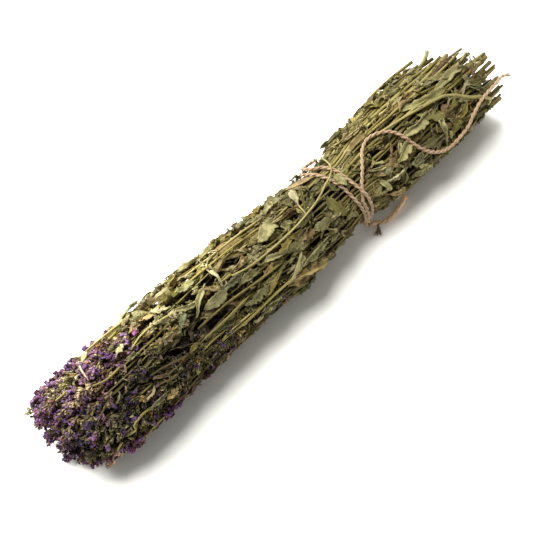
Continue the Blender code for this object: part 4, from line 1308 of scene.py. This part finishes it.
def add_fibres(growth, draw, centre, count, tones):
    """Thin stray fibres that lift off the twine."""
    share = np.linspace(0.0, 1.0, 5)[:, None]
    for _ in range(count):
        spot = draw.integers(1, len(centre) - 1)
        along = unit(centre[spot + 1] - centre[spot - 1]) * (1 if draw.random() < 0.5 else -1)
        aside = unit(np.cross(along, draw.normal(size=3)))
        start = centre[spot] + aside * 0.0009
        length = draw.uniform(*FIBRE_LENGTHS)
        curve = start + length * (share * along + draw.uniform(0.15, 0.6) * share**1.6 * aside)
        # The fibres take the twine's painted light and shade
        tone = np.interp(spot / len(centre), (0.0, 1.0), tones)
        add_fibre(growth, draw, curve, aside, FIBRE_RADII, tone)


def add_frayed_end(growth, draw, tip, along, count, spreads, tone):
    """A loose brush of fibres at a cut end."""
    share = np.linspace(0.0, 1.0, 6)[:, None]
    for _ in range(count):
        aside = unit(np.cross(along, draw.normal(size=3)))
        start = tip - along * 0.003 + aside * 0.0007
        length = FRAY_LENGTH * draw.uniform(0.5, 1.0)
        curve = start + length * (share * along + draw.uniform(*spreads) * share**1.5 * aside)
        # The brush takes the painted light and shade of the tail's end
        add_fibre(growth, draw, curve, aside, FRAY_RADII, tone)


def twine_points(places):
    """The points of places given as angle in degrees, x and radius."""
    return [bundle_point(x, math.radians(angle), radius) for angle, x, radius in places]


def knot_path():
    """The twine's way round itself at the knot."""
    turn = np.linspace(0.0, KNOT_TURNS * math.tau, KNOT_POINTS)
    loop = stacked(np.cos(turn), 0.45 * np.sin(turn) + 0.10 * turn - 0.5, np.sin(turn))
    return twine_points((KNOT_PLACE,))[0] + KNOT_RADIUS * loop


# Materials

class Shader:
    """A material in the making: each call adds a node, and links or sets its inputs."""

    def __init__(self, name, **constants):
        self.material = bpy.data.materials.new(name)
        self.material.use_nodes = True
        self.tree = self.material.node_tree
        self.surface = self.tree.nodes["Principled BSDF"]
        for socket, value in constants.items():
            self.surface.inputs[socket.replace("_", " ")].default_value = value

    def feed(self, socket, value):
        """Links a node's output to the socket, or sets the socket to a plain value."""
        if isinstance(value, bpy.types.NodeSocket):
            self.tree.links.new(value, socket)
        else:
            socket.default_value = value

    def add(self, kind, inputs=(), **settings):
        node = self.tree.nodes.new("ShaderNode" + kind)
        for key, value in settings.items():
            setattr(node, key, value)
        for key, value in dict(inputs).items():
            self.feed(node.inputs[key], value)
        return node

    def attribute(self, name, output):
        return self.add("Attribute", attribute_name=name).outputs[output]

    def math(self, operation, first, second=0.0):
        return self.add("Math", {0: first, 1: second}, operation=operation).outputs[0]

    def noise(self, vector, scale, detail=3.0, roughness=0.55):
        inputs = {"Vector": vector, "Scale": scale, "Detail": detail, "Roughness": roughness}
        return self.add("TexNoise", inputs).outputs["Fac"]

    def stretch(self, vector, scale):
        return self.add("VectorMath", {0: vector, 1: scale}, operation="MULTIPLY").outputs[0]

    def between(self, value, low, high, start=0.0, end=1.0):
        """The value, mapped from low..high to start..end and held there."""
        inputs = {"Value": value, "From Min": low, "From Max": high, "To Min": start, "To Max": end}
        return self.add("MapRange", inputs, clamp=True).outputs[0]

    def mix(self, share, first, second, blend="MIX"):
        node = self.add("Mix", data_type="RGBA", blend_type=blend)
        self.feed(node.inputs[0], share)
        for socket, value in ((node.inputs[6], first), (node.inputs[7], second)):
            self.feed(socket, value)
        return node.outputs[2]

    def shaded(self, colour, light):
        """The colour, times a light that is one number."""
        grey = self.add("CombineXYZ", {axis: light for axis in range(3)}).outputs[0]
        return self.mix(1.0, colour, grey, "MULTIPLY")

    def finish(self, colour, roughness, height, distance):
        """The material, with a bump of that height."""
        self.feed(self.surface.inputs["Base Color"], colour)
        self.feed(self.surface.inputs["Roughness"], roughness)
        bump = self.add("Bump", {"Height": height, "Distance": distance})
        self.feed(self.surface.inputs["Normal"], bump.outputs[0])
        return self.material

    def place(self):
        return self.add("TexCoord").outputs["Object"]


def rgba(name, light=1.0):
    """A named colour, made lighter or darker, for a colour socket."""
    return (*(linear(name) * light), 1.0)


def leaf_material():
    """Dried leaf: midrib, side veins, mottling, brown spots and a pebbled surface."""
    shader = Shader("dried_leaf", Specular_IOR_Level=0.28)
    tone = shader.attribute("tone", "Color")
    grain = shader.add("SeparateXYZ", {0: shader.attribute("grain", "Vector")})
    along, across = grain.outputs[0], shader.math("ABSOLUTE", grain.outputs[1])
    place = shader.place()
    cloud = shader.noise(place, 170.0, 4.0)
    fine = shader.noise(place, 1400.0, 3.0)
    slant = shader.math("MULTIPLY", across, -1.3)
    veins = shader.math("ADD", slant, shader.math("MULTIPLY", along, 9.0))
    veins = shader.math("FRACT", veins)
    veins = shader.math("ABSOLUTE", shader.math("SUBTRACT", veins, 0.5))
    vein = shader.between(veins, 0.36, 0.48)
    rib = shader.between(across, 0.12, 0.03)
    lines = shader.math("MAXIMUM", shader.math("MULTIPLY", vein, 0.6), rib)
    lighter = shader.mix(shader.math("MULTIPLY", lines, 0.42), tone, rgba("stem_light"))
    shaded = shader.shaded(lighter, shader.between(cloud, 0.30, 0.70, 0.60, 1.28))
    spots = shader.between(shader.noise(place, 330.0, 2.0), 0.62, 0.74, 0.0, 0.65)
    spotted = shader.mix(spots, shaded, rgba("brown", 0.8))
    # Painted highlight: the leaf's edges are lightened towards tan
    edge = shader.between(across, 0.80, 1.0, 0.0, 0.35)
    edge_highlighted = shader.mix(edge, spotted, rgba("tan", 1.05))
    ridges = shader.math("MULTIPLY", lines, 0.5)
    height = shader.math("ADD", ridges, shader.math("MULTIPLY", fine, 0.8))
    roughness = shader.between(fine, 0.3, 0.7, 0.68, 0.92)
    return shader.finish(edge_highlighted, roughness, height, 0.00060)


def stem_material():
    """Dried stem: lengthwise fibres, darker streaks and small scars."""
    shader = Shader("dried_stem", Specular_IOR_Level=0.30)
    tone = shader.attribute("tone", "Color")
    grain = shader.attribute("grain", "Vector")
    fibre = shader.noise(shader.stretch(grain, (90.0, 2600.0, 2600.0)), 1.0, 3.0)
    blotch = shader.noise(shader.stretch(grain, (45.0, 160.0, 160.0)), 1.0, 4.0)
    shaded = shader.shaded(tone, shader.between(fibre, 0.30, 0.70, 0.78, 1.22))
    streaks = shader.between(blotch, 0.52, 0.70, 0.0, 0.60)
    streaked = shader.mix(streaks, shaded, rgba("stem_brown", 0.9))
    roughness = shader.between(fibre, 0.3, 0.7, 0.55, 0.80)
    return shader.finish(streaked, roughness, fibre, 0.00022)


def floret_material(name, gloss):
    """Dried calyx or petal: ribbed, mottled and dull."""
    shader = Shader(name, Specular_IOR_Level=gloss)
    tone = shader.attribute("tone", "Color")
    place = shader.place()
    cloud = shader.noise(place, 420.0, 3.0)
    fine = shader.noise(place, 2200.0, 2.0)
    shaded = shader.shaded(tone, shader.between(cloud, 0.30, 0.70, 0.66, 1.34))
    roughness = shader.between(fine, 0.3, 0.7, 0.70, 0.95)
    return shader.finish(shaded, roughness, fine, 0.00025)


def twine_material():
    """Natural fibre: pale and brown hairs along each twisted strand."""
    shader = Shader("jute_twine", Specular_IOR_Level=0.22, Sheen_Weight=0.25)
    grain = shader.attribute("grain", "Vector")
    fibre = shader.noise(shader.stretch(grain, (220.0, 4200.0, 4200.0)), 1.0, 3.0)
    cloud = shader.noise(shader.place(), 120.0, 3.0)
    colour = shader.mix(shader.between(fibre, 0.35, 0.66), rgba("twine_dark"), rgba("twine", 1.12))
    stains = shader.between(cloud, 0.5, 0.75, 0.0, 0.45)
    colour = shader.mix(stains, colour, rgba("twine_dark", 0.9))
    # The tone attribute multiplies in the painted light and shade of each strand
    colour = shader.mix(1.0, colour, shader.attribute("tone", "Color"), "MULTIPLY")
    roughness = shader.between(fibre, 0.3, 0.7, 0.78, 0.96)
    return shader.finish(colour, roughness, fibre, 0.0004)


FLOOR_TONES = ((0.975, 0.960, 0.905, 1), (0.99, 0.975, 0.920, 1))


def floor_material():
    """A matt white studio floor with a faint grain."""
    shader = Shader("studio_floor", Specular_IOR_Level=0.1)
    fine = shader.noise(shader.place(), 900.0, 2.0)
    colour = shader.mix(shader.between(fine, 0.3, 0.7), *FLOOR_TONES)
    return shader.finish(colour, 0.9, fine, 0.00002)


# The bunch

TRACK_POINTS, SPIKE_POINTS, SEEN_LEAF_POINTS = 150, 40, 31
# The depth from which stems show, and where the tips of long, short and other stems lie
OUTER_DEPTH = 0.85
SHORT_SHARE, LONG_SHARE, NEAR_LONG_SHARE = 0.2, 0.5, 0.75
SHORT_TIPS, LONG_TIPS, TIPS_PAST_FLOWERS = (-0.05, 0.03), (0.015, 0.070), (-0.045, 0.030)
INNER_TIPS, CUT_JITTER = (-0.02, 0.03), (-0.014, -0.002)
THICK_SHARE, THICK_SIZE = 0.15, 1.25
STEM_RADII = (0.00075, 0.00150)
STEM_TAPER = 0.34
STRAY_ACROSS, STRAY_DEEP = 0.45, 0.12
TIGHT_LENGTH = 0.045
STEM_TONES = ("stem", "stem_light", "stem_dark", "stem")


def stem_track(draw, ring, index, place, tip, cut):
    """A stem's centreline through its cell, from its cut end to its tip."""
    x = np.linspace(cut, tip, TRACK_POINTS)
    across = place[0] + STRAY_ACROSS * wander(draw, x, 0.12, 0.45, 2)
    depth = place[1] + STRAY_DEEP * wander(draw, x, 0.06, 0.25)
    tight = np.exp(-(((x - TIE_X) / TIGHT_LENGTH) ** 2))
    across = across + (place[0] - across) * tight
    depth = depth + (place[1] - depth) * tight
    angle, radius = cell_place(ring, index, x, across, depth)
    return bundle_point(x, angle, radius)


def add_sprig_stems(growth, draw, ring_number, index, base):
    """A sprig's stems, and the tracks of those that show."""
    ring = RINGS[ring_number]
    shown = []
    for place in STEM_PLACES[ring_number]:
        outermost = ring_number == 0 and place[1] > OUTER_DEPTH
        tip = base + draw.uniform(*INNER_TIPS)
        if outermost:
            angle, _ = cell_place(ring, index, -0.1, *place)
            tip = flowers_from(angle) + draw.uniform(*TIPS_PAST_FLOWERS)
            chance = draw.random()
            if chance < SHORT_SHARE:
                tip = draw.uniform(*SHORT_TIPS)
            elif chance < (NEAR_LONG_SHARE if math.cos(angle) < -0.4 else LONG_SHARE):
                tip = FLOWER_END + draw.uniform(*LONG_TIPS)
        cut = cut_at(*cell_place(ring, index, CUT_END, *place)) + draw.uniform(*CUT_JITTER)
        track = stem_track(draw, ring, index, place, tip, cut)
        thick = draw.uniform(*STEM_RADII) * (THICK_SIZE if draw.random() < THICK_SHARE else 1.0)
        tone = mixed(draw, STEM_TONES, 0.15)
        add_stem(growth, draw, track, thick, STEM_TAPER * thick, tone, 8 if outermost else 6)
        if outermost:
            shown.append(track)
    return shown


# How far the flower heads' tips lie behind the bunch's end, in each ring and at its near corner
HEAD_TIPS, NEAR_TIPS = (0.020, 0.012, 0.012), 0.012
HEAD_STRAY_ACROSS, HEAD_STRAY_DEEP = 0.30, 0.08
HEAD_FULLNESS = (0.9, 1.1)


def build_sprig_growth(number, ring_number, index):
    """The stems and leaves of one sprig, and its flower heads."""
    ring = RINGS[ring_number]
    base = random.Random(SEED + number).uniform(*SPIKE_BASES)
    draw = np.random.default_rng(SEED + number)
    leafy, flowery = Growth(), Growth()
    shown = add_sprig_stems(leafy, draw, ring_number, index, base)
    if shown:
        add_random_leaves(leafy, draw, shown, RANDOM_LEAVES)
        add_small_leaves(leafy, draw, shown, SMALL_LEAVES)
        add_buds(leafy, draw, shown, BUD_CLUSTERS)
    add_inner_leaves(leafy, draw, ring, index)
    for place in SPIKE_PLACES[ring_number]:
        angle, _ = cell_place(ring, index, -0.15, *place)
        tip = FLOWER_END + draw.uniform(0.0, HEAD_TIPS[ring_number])
        tip = tip + NEAR_TIPS * max(math.cos(angle - NEAR_CORNER), 0.0) ** 2
        start = base + draw.uniform(-0.012, 0.012)
        if ring_number == 0:
            start = flowers_from(angle) + draw.normal(0.0, 0.016)
        x = np.linspace(start, tip, SPIKE_POINTS)
        across = place[0] + HEAD_STRAY_ACROSS * wander(draw, x, 0.06, 0.20)
        depth = place[1] + HEAD_STRAY_DEEP * wander(draw, x, 0.05, 0.20)
        angle, radius = cell_place(ring, index, x, across, depth)
        kind = spike_kind(draw, angle[-1])
        fullness = draw.uniform(*HEAD_FULLNESS)
        add_spike(flowery, draw, bundle_point(x, angle, radius), fullness, kind)
    return leafy, flowery


def add_seen(grown):
    """Adds what the photograph shows one by one to the sprigs on which it lies."""
    draw = np.random.default_rng(SEEN_SEED)

    def sprig_under(point):
        angle, _ = bundle_place(point)
        return grown[cell_at(point[0], angle)]

    for route, width, form, tone in LEAVES_SEEN:
        path = seen_route(route, 0.001)
        path = along_path(path, np.linspace(0.0, distances(path)[-1], SEEN_LEAF_POINTS))
        leafy, _ = sprig_under(path[12])
        tone = linear(tone) * draw.uniform(1.0, 1.15)
        half_width = width * PIXEL_SIZE / 2.0
        add_leaf(leafy, draw, path, half_width, form, tone, draw.normal(0, 0.2), top=SEEN_TOP)
    for route, start, end, tone in STEMS_SEEN:
        path = seen_route(route, 0.002)
        leafy, _ = sprig_under(path[len(path) // 2])
        thick = np.array((start, end)) * PIXEL_SIZE / 2.0
        add_stem(leafy, draw, path, *thick, linear(tone))
    for route, fullness, kind in SPIKES_SEEN:
        path = seen_route(route, 0.002)
        _, flowery = sprig_under(path[len(path) // 2])
        add_spike(flowery, draw, path, fullness, kind)
    for place, spread, count, names in CLUMPS_SEEN:
        centre = bundle_point(*seen_at(place[:2], place[2]))
        leafy, _ = sprig_under(centre)
        add_clump(leafy, draw, centre, spread * PIXEL_SIZE, count, names)


def build_sprigs(materials):
    """The pieces of all sprigs and their flower heads."""
    cells = [(ring, index) for ring in range(len(RINGS)) for index in range(RINGS[ring]["sprigs"])]
    grown = [build_sprig_growth(number, *cell) for number, cell in enumerate(cells)]
    add_seen(grown)
    leaf_materials = [materials[name] for name in ("stem", "leaf")]
    floret_materials = [materials[name] for name in ("calyx", "petal", "stem")]
    for number, (leafy, flowery) in enumerate(grown, start=1):
        sprig = leafy.piece(f"leafy_sprig_{number:02d}", leaf_materials)
        settle(sprig, f"sprig_{number:02d}")
        head = flowery.piece(f"florets_{number:02d}", floret_materials)
        settle(head, f"flower_spike_{number:02d}")


def settle(piece, node):
    """Ties a piece to the frame: its body and the node it stands for."""
    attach(piece, "root")
    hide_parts(node)


def build_twine(material):
    """The tie and the tails, with the frayed stub."""
    draw = np.random.default_rng(TWINE_SEED)
    tie = Growth(grown=False)
    for turn in (FIRST_TURN, SECOND_TURN):
        add_twine(tie, draw, smooth_route(twine_points(turn), 0.0015, cyclic=True), closed=True)
    # The knot is painted darker: painted shade
    add_twine(tie, draw, knot_path(), tones=(0.8, 0.8))
    add_twine(tie, draw, smooth_route(twine_points(TAIL_FROM_KNOT), 0.001))
    settle(tie.piece("twine_turns", (material,)), "twine_tie")
    pieces = {}
    # The tones are painted light and shade along each tail: painted light towards the short tail's
    # end, painted shade on the stub
    for name, route, node, thick, tones, fibres, spreads in (
        ("long_tail", LONG_TAIL, "twine_long_tail", 1.0, (1.0, 1.1), 34, (0.08, 0.40)),
        ("short_tail", SHORT_TAIL, "twine_short_tail", 1.3, (0.9, 3.4), 170, (0.10, 0.36)),
        ("frayed_stub", (STUB_JOINS, *STUB), "twine_stub", 1.0, (0.6, 0.5), 90, (0.15, 0.55)),
    ):
        path = smooth_route(route, 0.001)
        strand = Growth(grown=False)
        add_twine(strand, draw, path, short=TAIL_STOPS_SHORT, tones=tones, thick=thick)
        along = unit(path[-1] - path[-5])
        add_frayed_end(strand, draw, path[-4], along, fibres, spreads, tones[1])
        pieces[name] = strand.piece(name, (material,))
        settle(pieces[name], node)
    for name, route, others in (
        ("long_tail", LONG_TAIL, ()),
        ("short_tail", SHORT_TAIL, (pieces["frayed_stub"],)),
    ):
        path = smooth_route(route, 0.002)


# The studio

# Name, strength, angular size in degrees and the direction from which the light comes
LAMPS = (
    ("key", 5.05, 36.0, (-0.14, 0.33, 0.92)),
    ("side_light", 5.8, 60.0, (-0.10, 0.92, 0.32)),
)
FLOOR_SIZE, FLOOR_SQUARES = 8.0, 8
WORLD_LIGHT = 0.38


def build_studio():
    """The floor, the lamps and the light from all round."""
    bpy.ops.mesh.primitive_grid_add(
        size=FLOOR_SIZE, x_subdivisions=FLOOR_SQUARES, y_subdivisions=FLOOR_SQUARES
    )
    floor = bpy.context.object
    floor.name = "studio_floor"
    floor.data.materials.append(floor_material())
    world = bpy.data.worlds.new("studio")
    world.use_nodes = True
    background = world.node_tree.nodes["Background"].inputs
    background["Color"].default_value = (1.0, 1.0, 1.0, 1.0)
    background["Strength"].default_value = WORLD_LIGHT
    bpy.context.scene.world = world
    for name, energy, angle, origin in LAMPS:
        sun = bpy.data.lights.new(name, "SUN")
        sun.energy = energy
        sun.angle = math.radians(angle)
        add_object(name, sun, origin)
    bpy.context.scene.view_settings.view_transform = "Standard"


def build_camera():
    """The photograph's camera."""
    data = bpy.data.cameras.new("camera")
    data.lens = CAMERA_LENS
    data.sensor_width = SENSOR_WIDTH
    data.clip_start = 0.01
    camera = add_object("camera", data, BACK)
    camera.location = EYE
    bpy.context.scene.camera = camera


MATERIALS = {
    "stem": stem_material(),
    "leaf": leaf_material(),
    "calyx": floret_material("dried_calyx", 0.25),
    "petal": floret_material("dried_petal", 0.30),
}
build_camera()
build_twine(twine_material())
build_sprigs(MATERIALS)
build_studio()
